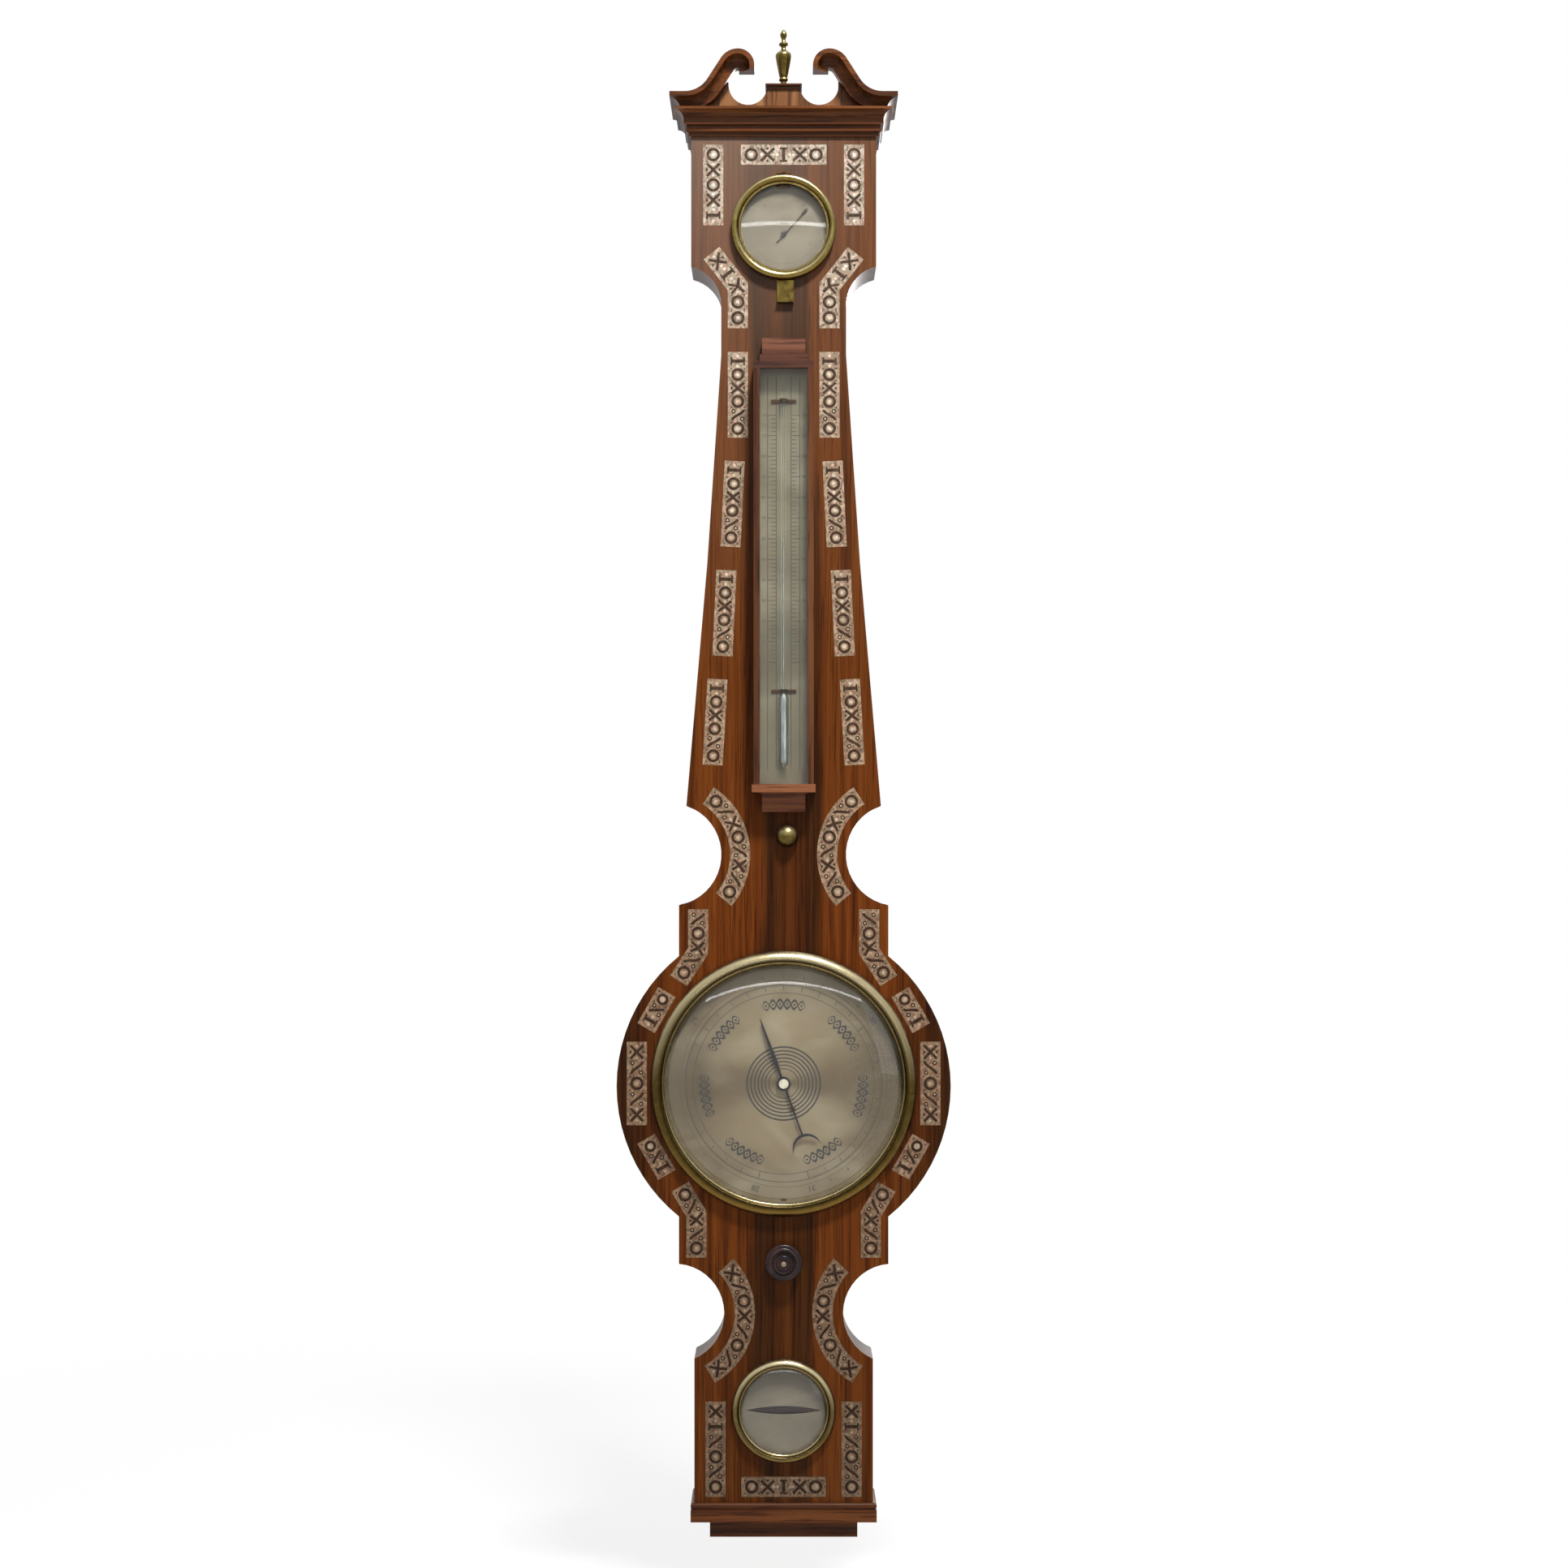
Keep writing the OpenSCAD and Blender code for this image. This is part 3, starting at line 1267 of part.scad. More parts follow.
// Siphon tube, mercury, float and counterweight
module upright(x, z0, z1, r) { translate([x, -tube_at, z0]) cylinder(r = r, h = z1 - z0); }
module bend(r) {
  translate([bend_x, -tube_at, bend_z]) rotate([90, 0, 0]) rotate([0, 0, 180]) rotate_extrude(angle = 180)
    translate([bend_r, 0]) circle(r = r);
}
module siphon_tube() {
  color("lightcyan", 0.4) at_dial() difference() {
    union() {
      upright(-limb_x, bend_z, limb_top, limb_r);
      bend(limb_r);
      upright(thread_r, bend_z, cistern_low + 1, limb_r);
      upright(thread_r, cistern_low, cistern_top, cistern_r);
    }
    upright(-limb_x, bend_z, limb_top - limb_close, limb_bore_r);
    bend(limb_bore_r);
    upright(thread_r, bend_z, cistern_low + 3, limb_bore_r);
    upright(thread_r, cistern_low + 2, cistern_top + 1, cistern_bore_r);
  }
}
mercury_split = cistern_low + 2.5;
module mercury() {
  color("gray") at_dial() {
    upright(-limb_x, bend_z, column_h - mercury_down, limb_bore_r - film);
    bend(limb_bore_r - film);
    upright(thread_r, bend_z, mercury_split - film, limb_bore_r - film);
  }
}
float_gap = 0.4;
module open_mercury() {
  color("gray") at_dial() upright(thread_r, mercury_split, -mercury_down - float_gap, cistern_bore_r - film);
}
module float() {
  color("ivory") at_dial() upright(thread_r, -mercury_down, -mercury_down + float_l, float_r);
}
module float_thread() { color("black") at_dial() upright(thread_r, -mercury_down + float_l, 0, silk_r); }
module counterweight() {
  color("dimgray") at_dial() upright(-thread_r, weight_top - weight_l, weight_top, weight_r);
}
module weight_thread() { color("black") at_dial() upright(-thread_r, weight_top, 0, silk_r); }

case_body();
front_veneer();
head_inlay();
trunk_inlay();
dial_inlay();
base_inlay();
cornice();
pediment_board();
swan_mouldings();
tablet_cap();
finial();
base_moulding();
hanging_plate();
brass_screws();
tube_cover();
door_hinges();
hygro_hinge();
hygro_dial();
hygro_beard();
thermo_hooks();
main_bezel();
main_glass();
main_dial();
arbor_bridge();
drive_cord();
siphon_tube();
mercury();
level_bezel();
level_glass();
level_dial();
level_vial();
back_door();
door_leaves();
door_button();
hygro_bezel();
hygro_glass();
hygro_hand();
bezel_catch();
thermo_case();
thermo_cap();
thermo_foot();
thermo_glass();
thermo_scale();
thermo_tube();
thermo_filling();
thermo_clips();
trunk_knob();
steel_hand();
hand_arbor();
hand_boss();
thread_pulley();
set_hand();
set_pipe();
set_knob();
knob_arbor();
float();
float_thread();
open_mercury();
counterweight();
weight_thread();
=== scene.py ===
import json
import math
import bmesh
import bpy
from mathutils import Vector
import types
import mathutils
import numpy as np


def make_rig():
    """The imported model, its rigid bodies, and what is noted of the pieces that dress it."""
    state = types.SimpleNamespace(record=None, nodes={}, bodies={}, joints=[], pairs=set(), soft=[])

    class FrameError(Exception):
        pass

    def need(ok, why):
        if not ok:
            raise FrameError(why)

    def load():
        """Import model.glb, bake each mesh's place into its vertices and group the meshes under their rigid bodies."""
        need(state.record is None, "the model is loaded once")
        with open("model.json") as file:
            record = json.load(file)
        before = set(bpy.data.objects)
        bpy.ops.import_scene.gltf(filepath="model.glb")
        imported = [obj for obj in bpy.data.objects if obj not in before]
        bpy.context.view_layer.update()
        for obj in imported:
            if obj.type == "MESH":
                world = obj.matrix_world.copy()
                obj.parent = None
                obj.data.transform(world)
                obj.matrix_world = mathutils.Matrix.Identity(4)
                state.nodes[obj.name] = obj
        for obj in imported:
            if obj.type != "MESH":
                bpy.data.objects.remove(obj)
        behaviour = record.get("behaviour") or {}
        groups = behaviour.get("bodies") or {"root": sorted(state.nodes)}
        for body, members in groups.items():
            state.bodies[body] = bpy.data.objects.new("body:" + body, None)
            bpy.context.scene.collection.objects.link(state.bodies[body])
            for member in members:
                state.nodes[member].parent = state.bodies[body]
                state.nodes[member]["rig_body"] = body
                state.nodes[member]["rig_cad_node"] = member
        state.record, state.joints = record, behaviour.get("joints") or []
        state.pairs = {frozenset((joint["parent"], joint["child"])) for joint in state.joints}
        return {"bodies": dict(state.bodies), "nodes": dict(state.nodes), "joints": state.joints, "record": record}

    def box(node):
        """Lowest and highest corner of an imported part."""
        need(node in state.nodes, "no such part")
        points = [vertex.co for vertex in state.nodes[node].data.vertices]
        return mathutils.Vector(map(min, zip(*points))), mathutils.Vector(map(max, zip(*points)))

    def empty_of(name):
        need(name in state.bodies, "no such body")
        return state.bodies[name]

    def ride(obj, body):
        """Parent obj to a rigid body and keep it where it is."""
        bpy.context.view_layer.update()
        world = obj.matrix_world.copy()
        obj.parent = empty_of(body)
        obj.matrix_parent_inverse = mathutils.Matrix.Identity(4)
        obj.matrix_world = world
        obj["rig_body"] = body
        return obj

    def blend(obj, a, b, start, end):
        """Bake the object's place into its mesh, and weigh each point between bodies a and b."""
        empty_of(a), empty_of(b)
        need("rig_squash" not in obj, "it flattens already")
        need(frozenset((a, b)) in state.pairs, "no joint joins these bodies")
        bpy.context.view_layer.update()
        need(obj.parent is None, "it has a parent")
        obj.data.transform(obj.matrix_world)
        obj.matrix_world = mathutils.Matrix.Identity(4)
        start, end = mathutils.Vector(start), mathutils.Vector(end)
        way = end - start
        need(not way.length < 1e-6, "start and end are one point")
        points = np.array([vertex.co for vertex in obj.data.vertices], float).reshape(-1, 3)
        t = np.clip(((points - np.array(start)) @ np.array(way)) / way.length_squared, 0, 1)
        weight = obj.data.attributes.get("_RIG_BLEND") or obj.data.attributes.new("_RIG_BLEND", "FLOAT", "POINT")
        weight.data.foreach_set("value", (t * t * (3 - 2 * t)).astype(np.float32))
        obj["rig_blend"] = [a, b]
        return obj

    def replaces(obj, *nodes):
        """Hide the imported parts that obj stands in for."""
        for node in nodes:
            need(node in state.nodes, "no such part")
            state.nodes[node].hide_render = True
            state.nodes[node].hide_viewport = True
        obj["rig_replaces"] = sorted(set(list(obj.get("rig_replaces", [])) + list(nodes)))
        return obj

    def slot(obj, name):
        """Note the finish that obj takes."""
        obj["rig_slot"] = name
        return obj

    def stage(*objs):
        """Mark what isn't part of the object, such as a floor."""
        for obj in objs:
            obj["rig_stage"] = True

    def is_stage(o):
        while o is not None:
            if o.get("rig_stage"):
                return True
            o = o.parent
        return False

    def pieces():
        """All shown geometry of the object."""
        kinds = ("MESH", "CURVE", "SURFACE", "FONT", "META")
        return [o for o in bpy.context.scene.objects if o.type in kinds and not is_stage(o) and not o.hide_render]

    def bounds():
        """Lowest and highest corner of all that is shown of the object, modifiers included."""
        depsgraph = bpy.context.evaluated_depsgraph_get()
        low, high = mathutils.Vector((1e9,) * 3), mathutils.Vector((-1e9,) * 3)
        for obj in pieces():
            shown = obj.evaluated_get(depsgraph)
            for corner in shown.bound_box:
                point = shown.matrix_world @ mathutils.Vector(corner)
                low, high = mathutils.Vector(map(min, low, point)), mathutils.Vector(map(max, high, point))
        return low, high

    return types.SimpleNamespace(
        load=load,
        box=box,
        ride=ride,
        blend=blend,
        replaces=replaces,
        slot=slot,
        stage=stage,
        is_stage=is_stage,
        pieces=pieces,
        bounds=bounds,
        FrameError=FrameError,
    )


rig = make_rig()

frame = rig.load()
cad_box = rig.bounds()
node = frame["nodes"]


# Carcass: the hollowed body that everything is screwed to. It is pine, sawn to the outline,
# with its edges stained and polished dark and its back left bare towards the wall.
MM = 0.001


def tone(red, green, blue):
    """The linear colour of a tone given on a scale of 0 to 255."""
    def linear(c):
        return c / 12.92 if c <= 0.04 else ((c + 0.055) / 1.055) ** 2.4
    return tuple(linear(c / 255) for c in (red, green, blue))


def new_finish(name, **sockets):
    """A fresh finish with constant sockets set on its shader."""
    paint = bpy.data.materials.new(name)
    paint.use_nodes = True
    shader = paint.node_tree.nodes["Principled BSDF"]
    for socket, value in sockets.items():
        shader.inputs[socket.replace("_", " ")].default_value = value
    return paint, paint.node_tree, shader


def add(tree, kind, inputs=None, **settings):
    """A shader node with its settings, constant inputs and links."""
    made = tree.nodes.new("ShaderNode" + kind)
    for key, value in settings.items():
        setattr(made, key, value)
    for key, value in (inputs or {}).items():
        if isinstance(value, bpy.types.NodeSocket):
            tree.links.new(value, made.inputs[key])
        else:
            made.inputs[key].default_value = value
    return made


def ramp(tree, factor, stops):
    """Tones laid out over a factor: stops are (position, tone)."""
    made = add(tree, "ValToRGB", {"Fac": factor})
    row = made.color_ramp.elements
    row[0].position, row[1].position = stops[0][0], stops[-1][0]
    row[0].color, row[1].color = (*stops[0][1], 1), (*stops[-1][1], 1)
    for position, colour in stops[1:-1]:
        row.new(position).color = (*colour, 1)
    return made.outputs["Color"]


def cloud(tree, scale, detail, distortion=0.0, rough=0.55):
    """Noise in the object's own frame; scale is in cycles per metre along x, y and z."""
    place = add(tree, "TexCoord").outputs["Object"]
    drawn = add(tree, "Mapping", {"Vector": place, "Scale": scale})
    return add(tree, "TexNoise", {"Vector": drawn.outputs["Vector"], "Scale": 1.0, "Detail": detail,
                                  "Distortion": distortion, "Roughness": rough}).outputs["Fac"]


def span(tree, factor, low, high, out_low, out_high):
    """A factor between low and high stretched to out_low and out_high."""
    return add(tree, "MapRange", {"Value": factor, "From Min": low, "From Max": high,
                                  "To Min": out_low, "To Max": out_high}).outputs["Result"]


def blend(tree, factor, first, second, how="MIX"):
    """Two tones mixed by a factor."""
    made = add(tree, "Mix", data_type="RGBA", blend_type=how)
    for key, value in ((0, factor), (6, first), (7, second)):
        if isinstance(value, bpy.types.NodeSocket):
            tree.links.new(value, made.inputs[key])
        else:
            made.inputs[key].default_value = value if key == 0 else (*value, 1)
    return made.outputs[2]


def lay(tree, shader, colour, rough):
    """Links a tone and a roughness to the shader of a finish."""
    tree.links.new(colour, shader.inputs["Base Color"])
    tree.links.new(rough, shader.inputs["Roughness"])


def relief(tree, shader, height, depth, strength):
    """Fine relief of a surface, depth in millimetres."""
    bump = add(tree, "Bump", {"Height": height, "Strength": strength, "Distance": depth * MM})
    tree.links.new(bump.outputs["Normal"], shader.inputs["Normal"])


def reading(tree, what, axis):
    """One axis of where a point lies ("Object") or of the way it faces ("Normal")."""
    return add(tree, "SeparateXYZ", {"Vector": add(tree, "TexCoord").outputs[what]}).outputs[axis]


def reckon(tree, how, first, second):
    """Two values added, multiplied or compared."""
    return add(tree, "Math", {0: first, 1: second}, operation=how).outputs[0]


def dress(paint, *names):
    """Gives CAD nodes a finish."""
    for name in names:
        node[name].data.materials.clear()
        node[name].data.materials.append(paint)


UPRIGHT = (60.0, 60.0, 2.4)
carcass_paint, tree, shader = new_finish("stained_pine_carcass", Specular_IOR_Level=0.15)
figure = cloud(tree, UPRIGHT, 6.0, 0.6)
stain = ramp(tree, figure, [(0.3, tone(44, 23, 11)), (0.5, tone(66, 36, 17)), (0.7, tone(88, 50, 24))])
bare = ramp(tree, figure, [(0.3, tone(150, 108, 66)), (0.5, tone(176, 133, 86)),
                           (0.7, tone(196, 156, 106))])
to_wall = reckon(tree, "GREATER_THAN", reading(tree, "Normal", "Y"), 0.6)
lay(tree, shader, blend(tree, to_wall, stain, bare), span(tree, to_wall, 0, 1, 0.36, 0.75))
relief(tree, shader, figure, 0.2, 0.3)
dress(carcass_paint, "case_body")


# Front veneer: one sheet of straight-grained rosewood glued to the face of the carcass, darker in its
# heart, with painted shade at its rims; French polished, with painted sheen at the head and painted shade towards the
# foot.
VENEER_LOW, SHEEN_LOW, HALF_WIDE = -1200, -450, 140
ORANGE, BROWN, UMBER = tone(124, 65, 24), tone(100, 53, 21), tone(72, 40, 17)
PORE, PLAIN = tone(120, 96, 84), (1.0, 1.0, 1.0)
veneer_paint, tree, shader = new_finish("rosewood_veneer", Specular_IOR_Level=0.06)
across, up = reading(tree, "Object", "X"), reading(tree, "Object", "Z")
drift = span(tree, cloud(tree, (10.0, 10.0, 1.6), 3.0), 0.3, 0.7, -0.012, 0.012)
heart = span(tree, reckon(tree, "ADD", across, drift), -HALF_WIDE * MM, HALF_WIDE * MM, 0.0, 1.0)
# The UMBER at the middle is the dark heart of the wood; the darker UMBER and BROWN at both rims are painted shade.
bands = ramp(tree, heart, [(0.03, UMBER), (0.1, BROWN), (0.2, ORANGE), (0.4, ORANGE), (0.43, UMBER),
                           (0.5, BROWN), (0.57, UMBER), (0.6, ORANGE), (0.8, ORANGE), (0.9, BROWN),
                           (0.97, UMBER)])
streaks = cloud(tree, (150.0, 150.0, 2.2), 8.0, 0.4, 0.65)
veins = ramp(tree, streaks, [(0.33, tone(110, 88, 80)), (0.5, tone(225, 215, 210)), (0.66, PLAIN)])
pores = cloud(tree, (800.0, 800.0, 16.0), 3.0)
fleck = ramp(tree, pores, [(0.36, PORE), (0.46, PLAIN)])
veined = blend(tree, 0.85, bands, veins, "MULTIPLY")
grained = blend(tree, 0.6, veined, fleck, "MULTIPLY")
# Painted shade: the veneer is darker towards the foot, where less light falls.
falloff_shade = ramp(tree, span(tree, up, VENEER_LOW * MM, 0.0, 0.0, 1.0), [
    (0.0, (0.6, 0.68, 0.58)), (0.42, (0.86, 0.85, 0.74)), (0.6, (0.8, 0.86, 0.86)),
    (0.8, (0.78, 0.9, 1.0)), (1.0, (0.68, 0.82, 0.9))])
height_shaded = blend(tree, 1.0, grained, falloff_shade, "MULTIPLY")
# Painted sheen: a pale reflection laid over the head, strongest towards its left.
sheen_by_height = ramp(tree, span(tree, up, SHEEN_LOW * MM, 0.0, 0.0, 1.0), [
    (0.0, (0.0,) * 3), (0.5, (0.1,) * 3), (0.7, (0.22,) * 3), (1.0, (0.5,) * 3)])
sheen_to_left = span(tree, across, -0.05, 0.08, 1.0, 0.3)
painted_sheen = reckon(tree, "MULTIPLY", sheen_by_height, sheen_to_left)
lay(tree, shader, blend(tree, painted_sheen, height_shaded, tone(136, 116, 103)), span(tree, streaks, 0.3, 0.7, 0.4, 0.26))
relief(tree, shader, pores, 0.1, 0.2)
dress(veneer_paint, "front_veneer")


# Inlaid panels: thirty strips of mother-of-pearl let into the veneer, each sawn through with rings,
# crosses and scrolls; the saw cuts are filled with dark mastic and rubbed down level.
DIAL_DROP = 795.0
PANEL_W, PANEL_GAP = 17.0, 0.05
PANEL_BACK, PANEL_FACE, MASTIC_FACE = 46.05, 47.26, 47.32
FRET_HALF, FRET_END, FRET_DEEP = 6.0, 2.1, 0.2
RING_R, INLAY_LOW = 123.0, -1130


def corner(x, z, f):
    """A point x and z from the centre of the main dial and f in front of the wall, in metres."""
    return (x * MM, -f * MM, (z - DIAL_DROP) * MM)


def plate(bm, loop, back, face, hole=None, tint=0):
    """A closed plate cut to loop between two levels; hole, with as many points, is cut out of it."""
    count = len(loop)
    fronts, backs = ([bm.verts.new(corner(x, z, f)) for x, z in loop] for f in (face, back))
    faces = [bm.faces.new((fronts[i], fronts[i - 1], backs[i - 1], backs[i])) for i in range(count)]
    if hole:
        rims, feet = ([bm.verts.new(corner(x, z, f)) for x, z in hole] for f in (face, back))
        for i in range(count):
            faces.append(bm.faces.new((rims[i], feet[i], feet[i - 1], rims[i - 1])))
            faces.append(bm.faces.new((fronts[i], rims[i], rims[i - 1], fronts[i - 1])))
            faces.append(bm.faces.new((backs[i - 1], feet[i - 1], feet[i], backs[i])))
    else:
        faces += [bm.faces.new(fronts), bm.faces.new(backs[::-1])]
    for f in faces:
        f.material_index = tint


def strip(bm, left, right, back, face):
    """A closed band between two edges with as many points each."""
    a, b, c, d = ([bm.verts.new(corner(x, z, f)) for x, z in edge]
                  for f in (face, back) for edge in (left, right))
    bm.faces.new((a[0], b[0], d[0], c[0]))
    bm.faces.new((b[-1], a[-1], c[-1], d[-1]))
    for i in range(len(left) - 1):
        for p, q in ((a, b), (b, d), (d, c), (c, a)):
            bm.faces.new((p[i], p[i + 1], q[i + 1], q[i]))


def piece(name, bm, body, slot, paints, stands_for=(), smooth=None):
    """Turns a finished mesh into a piece that rides on a body, or on none yet."""
    bmesh.ops.recalc_face_normals(bm, faces=bm.faces)
    mesh = bpy.data.meshes.new(name)
    bm.to_mesh(mesh)
    bm.free()
    if smooth:
        mesh.shade_smooth()
        mesh.set_sharp_from_angle(angle=math.radians(smooth))
    made = bpy.data.objects.new(name, mesh)
    bpy.context.scene.collection.objects.link(made)
    for paint in paints:
        mesh.materials.append(paint)
    if body:
        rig.ride(made, body)
    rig.slot(made, slot)
    if stands_for:
        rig.replaces(made, *stands_for)
    return made


def straight_line(points):
    """Middle line of a straight or angled panel: rows of (run, place, sideways), mitred at a corner."""
    rows, run, ease = [], 0.0, PANEL_W / 2
    legs = [(b[0] - a[0], b[1] - a[1]) for a, b in zip(points, points[1:])]
    sizes = [math.hypot(*leg) for leg in legs]
    sides = [(-leg[1] / size, leg[0] / size) for leg, size in zip(legs, sizes)]
    for i, (a, b) in enumerate(zip(points, points[1:])):
        def on(part):
            return tuple(p + (q - p) * part / sizes[i] for p, q in zip(a, b))
        rows.append((run + (ease if i else 0), on(ease if i else 0), sides[i]))
        last = i == len(legs) - 1
        rows.append((run + sizes[i] - (0 if last else ease), on(sizes[i] - (0 if last else ease)), sides[i]))
        run += sizes[i]
        if not last:
            n, m = sides[i], sides[i + 1]
            share = 1 + n[0] * m[0] + n[1] * m[1]
            rows.append((run, b, ((n[0] + m[0]) / share, (n[1] + m[1]) / share)))
    return rows


def curved_line(x, z, r, start, end):
    """Middle line of a panel that curves round a notch."""
    rows = []
    for i in range(33):
        turn = math.radians(start + (end - start) * i / 32)
        way = (math.cos(turn), math.sin(turn))
        rows.append((abs(turn - math.radians(start)) * r, (x + r * way[0], z + r * way[1]), way))
    return rows


def on_line(rows, run, side):
    """The place on the face at a run along the middle line and a distance to its side."""
    i = 1
    while i < len(rows) - 1 and rows[i][0] < run:
        i += 1
    (r0, p0, n0), (r1, p1, n1) = rows[i - 1], rows[i]
    part = (run - r0) / (r1 - r0)
    return tuple(p + (q - p) * part + side * (n + (m - n) * part) for p, q, n, m in zip(p0, p1, n0, n1))


def round_loop(run, side, r, count=24):
    """Outline of a disc."""
    return [(run + r * math.cos(2 * math.pi * i / count), side + r * math.sin(2 * math.pi * i / count))
            for i in range(count)]


def saltire(run, reach, rise, half):
    """Outline of a cross with two slanting bars."""
    loop = []
    arms = [(reach, rise), (-reach, rise), (-reach, -rise), (reach, -rise)]
    units = [(x / math.hypot(x, y), y / math.hypot(x, y)) for x, y in arms]
    for i, (arm, u) in enumerate(zip(arms, units)):
        v = units[(i + 1) % 4]
        notch = half / abs(u[0] * v[1] - u[1] * v[0])
        loop.append((run + arm[0] + half * u[1], arm[1] - half * u[0]))
        loop.append((run + arm[0] - half * u[1], arm[1] + half * u[0]))
        loop.append((run + notch * (u[0] + v[0]), notch * (u[1] + v[1])))
    return loop


def motif(kind, run, cell):
    """Sawn shapes of one cell of the fret: (loop, hole, tint) or (left edge, right edge)."""
    reach, tall = cell / 2 - 0.2, FRET_HALF
    if kind in "OP":
        r, wide, tip = min(5.7, reach), 2.3, 1.7
        yield round_loop(run, 0, r), round_loop(run, 0, r - wide), 0
        yield round_loop(run, 0, 2.4 if kind == "P" else 1.7), None, 2
        for x, y in ((1, 1), (1, -1), (-1, 1), (-1, -1)):
            yield [(run + x * reach, y * tall), (run + x * (reach - tip), y * tall),
                   (run + x * reach, y * (tall - tip))], None, 0
    elif kind == "X":
        half, dart, dot = 1.1, 1.7, 1.2
        yield saltire(run, reach - 0.9, tall - 0.7, half), None, 0
        for way in (1, -1):
            yield [(run - dart, way * tall), (run + dart, way * tall), (run, way * (tall - 2.1))], None, 0
            yield round_loop(run + way * (reach - 1.5), 0, dot, 14), None, 2
    elif kind == "I":
        bar, foot, dot, step = 1.4, min(3.2, reach - 0.6), 1.3, tall - 1.5
        half = [(bar, -step), (bar, step), (foot, step), (foot, tall)]
        right = [(run + foot, -tall), (run + foot, -step)] + [(run + x, y) for x, y in half]
        left = [(run - x, y) for x, y in half[::-1]] + [(run - foot, -step), (run - foot, -tall)]
        yield right + left, None, 0
        for way in (1, -1):
            yield round_loop(run + way * (reach - dot), 0, dot, 14), None, 2
    else:
        half, curl, dot = 1.1, 1.9, 0.8
        rise, left, right = tall - half, [], []
        for i in range(15):
            part = i / 7 - 1
            x, y = run + part * (reach - 1.0), rise * math.sin(part * math.pi / 2)
            slope = math.atan2(rise * math.pi / 2 * math.cos(part * math.pi / 2), reach)
            left.append((x - half * math.sin(slope), y + half * math.cos(slope)))
            right.append((x + half * math.sin(slope), y - half * math.cos(slope)))
        yield left, right
        for way in (1, -1):
            hub = (run + way * (reach - 2.3), -way * (tall - 2.4))
            yield round_loop(*hub, curl, 18), None, 0
            yield round_loop(*hub, dot, 12), None, 2


def fret_panel(bm, rows, pattern):
    """One panel: a pearl strip and a filled fret cell for each letter of the pattern."""
    run = rows[-1][0]
    side, steps = PANEL_W / 2 - PANEL_GAP, 40
    ends = [PANEL_GAP + (run - 2 * PANEL_GAP) * i / steps for i in range(steps + 1)]
    plate(bm, [on_line(rows, s, side) for s in ends] + [on_line(rows, s, -side) for s in ends[::-1]],
          PANEL_BACK, PANEL_FACE, None, 1)
    cell = (run - 2 * FRET_END) / len(pattern)
    for i, kind in enumerate(pattern):
        for shape in motif(kind, FRET_END + cell * (i + 0.5), cell):
            drawn = [[on_line(rows, *p) for p in loop] if isinstance(loop, list) else loop for loop in shape]
            if len(shape) == 2:
                strip(bm, *drawn, PANEL_FACE - FRET_DEEP, MASTIC_FACE)
            else:
                level = MASTIC_FACE + (0.03 if shape[2] else 0)
                plate(bm, drawn[0], PANEL_FACE - FRET_DEEP, level, drawn[1], drawn[2])


def both(rows):
    """A panel and its mirror image on the other side of the case."""
    return [rows, [(run, (-p[0], p[1]), (-n[0], n[1])) for run, p, n in rows]]


def ring_bar(half, turn):
    """Middle line of a straight panel beside the main dial."""
    c, s = math.cos(math.radians(turn)), math.sin(math.radians(turn))
    return straight_line([(RING_R * c - y * s, RING_R * s + y * c) for y in (half, -half)])


trunk_ends = [((38.4, 613), (38.4, 541)), ((41, 521.6), (44.5, 449.6)),
              ((47.9, 430.2), (51.3, 358.2)), ((55.4, 338.8), (59.5, 266.8))]
panels = {
    "head_inlay": [(straight_line([(-36, 778.2), (36, 778.2)]), "OXIXO")]
    + [(r, "OXOXI") for r in both(straight_line([(59, 786.7), (59, 719)]))]
    + [(r, "XIXOO") for r in both(straight_line([(60.5, 695.7), (38.4, 667.7), (38.4, 632.7)]))],
    "trunk_inlay": [(r, "IOXOSO") for ends in trunk_ends for r in both(straight_line(ends))],
    "dial_inlay": [(r, "OSXOSXSO") for r in both(curved_line(95.2, 191.8, 58.8, 123, 220))]
    + [(r, "SOXSO") for r in both(straight_line([(71.7, 146), (71.7, 111), (88, 86)]))]
    + [(r, "PSI") for r in both(ring_bar(17.5, 30))]
    + [(r, "XSOSX") for r in both(ring_bar(35, 0))]
    + [(r, "PSI") for r in both(ring_bar(17.5, -30))]
    + [(r, "OSXSO") for r in both(straight_line([(86.7, -86.4), (73.1, -109.5), (73.1, -146)]))]
    + [(r, "XSOXSOSX") for r in both(curved_line(91.3, -192.6, 58.8, 137, 240))],
    "base_inlay": [(straight_line([(-35.5, -338), (35.5, -338)]), "PXIXP")]
    + [(r, "XISOSP") for r in both(straight_line([(57, -266.5), (57, -346.5)]))],
}


def browned(tree, clean):
    """A tone under varnish, with painted shade that darkens and browns it towards the foot of the case, where less
    light falls.
    """
    up = reading(tree, "Object", "Z")
    falloff_shade = ramp(tree, span(tree, up, INLAY_LOW * MM, 0.0, 0.0, 1.0), [
        (0.0, (0.34, 0.26, 0.19)), (0.3, (0.58, 0.45, 0.35)), (0.57, (0.84, 0.7, 0.58)),
        (0.82, (0.96, 0.88, 0.8)), (1.0, PLAIN)])
    return blend(tree, 1.0, clean, falloff_shade, "MULTIPLY")


mastic, tree, shader = new_finish("dark_mastic", Specular_IOR_Level=0.12)
crumb = cloud(tree, (300.0, 300.0, 300.0), 4.0)
filling = ramp(tree, crumb, [(0.3, tone(50, 38, 30)), (0.5, tone(68, 53, 43)), (0.7, tone(90, 74, 62))])
# The mastic takes painted shade towards the foot.
lay(tree, shader, browned(tree, filling), span(tree, crumb, 0.3, 0.7, 0.57, 0.45))


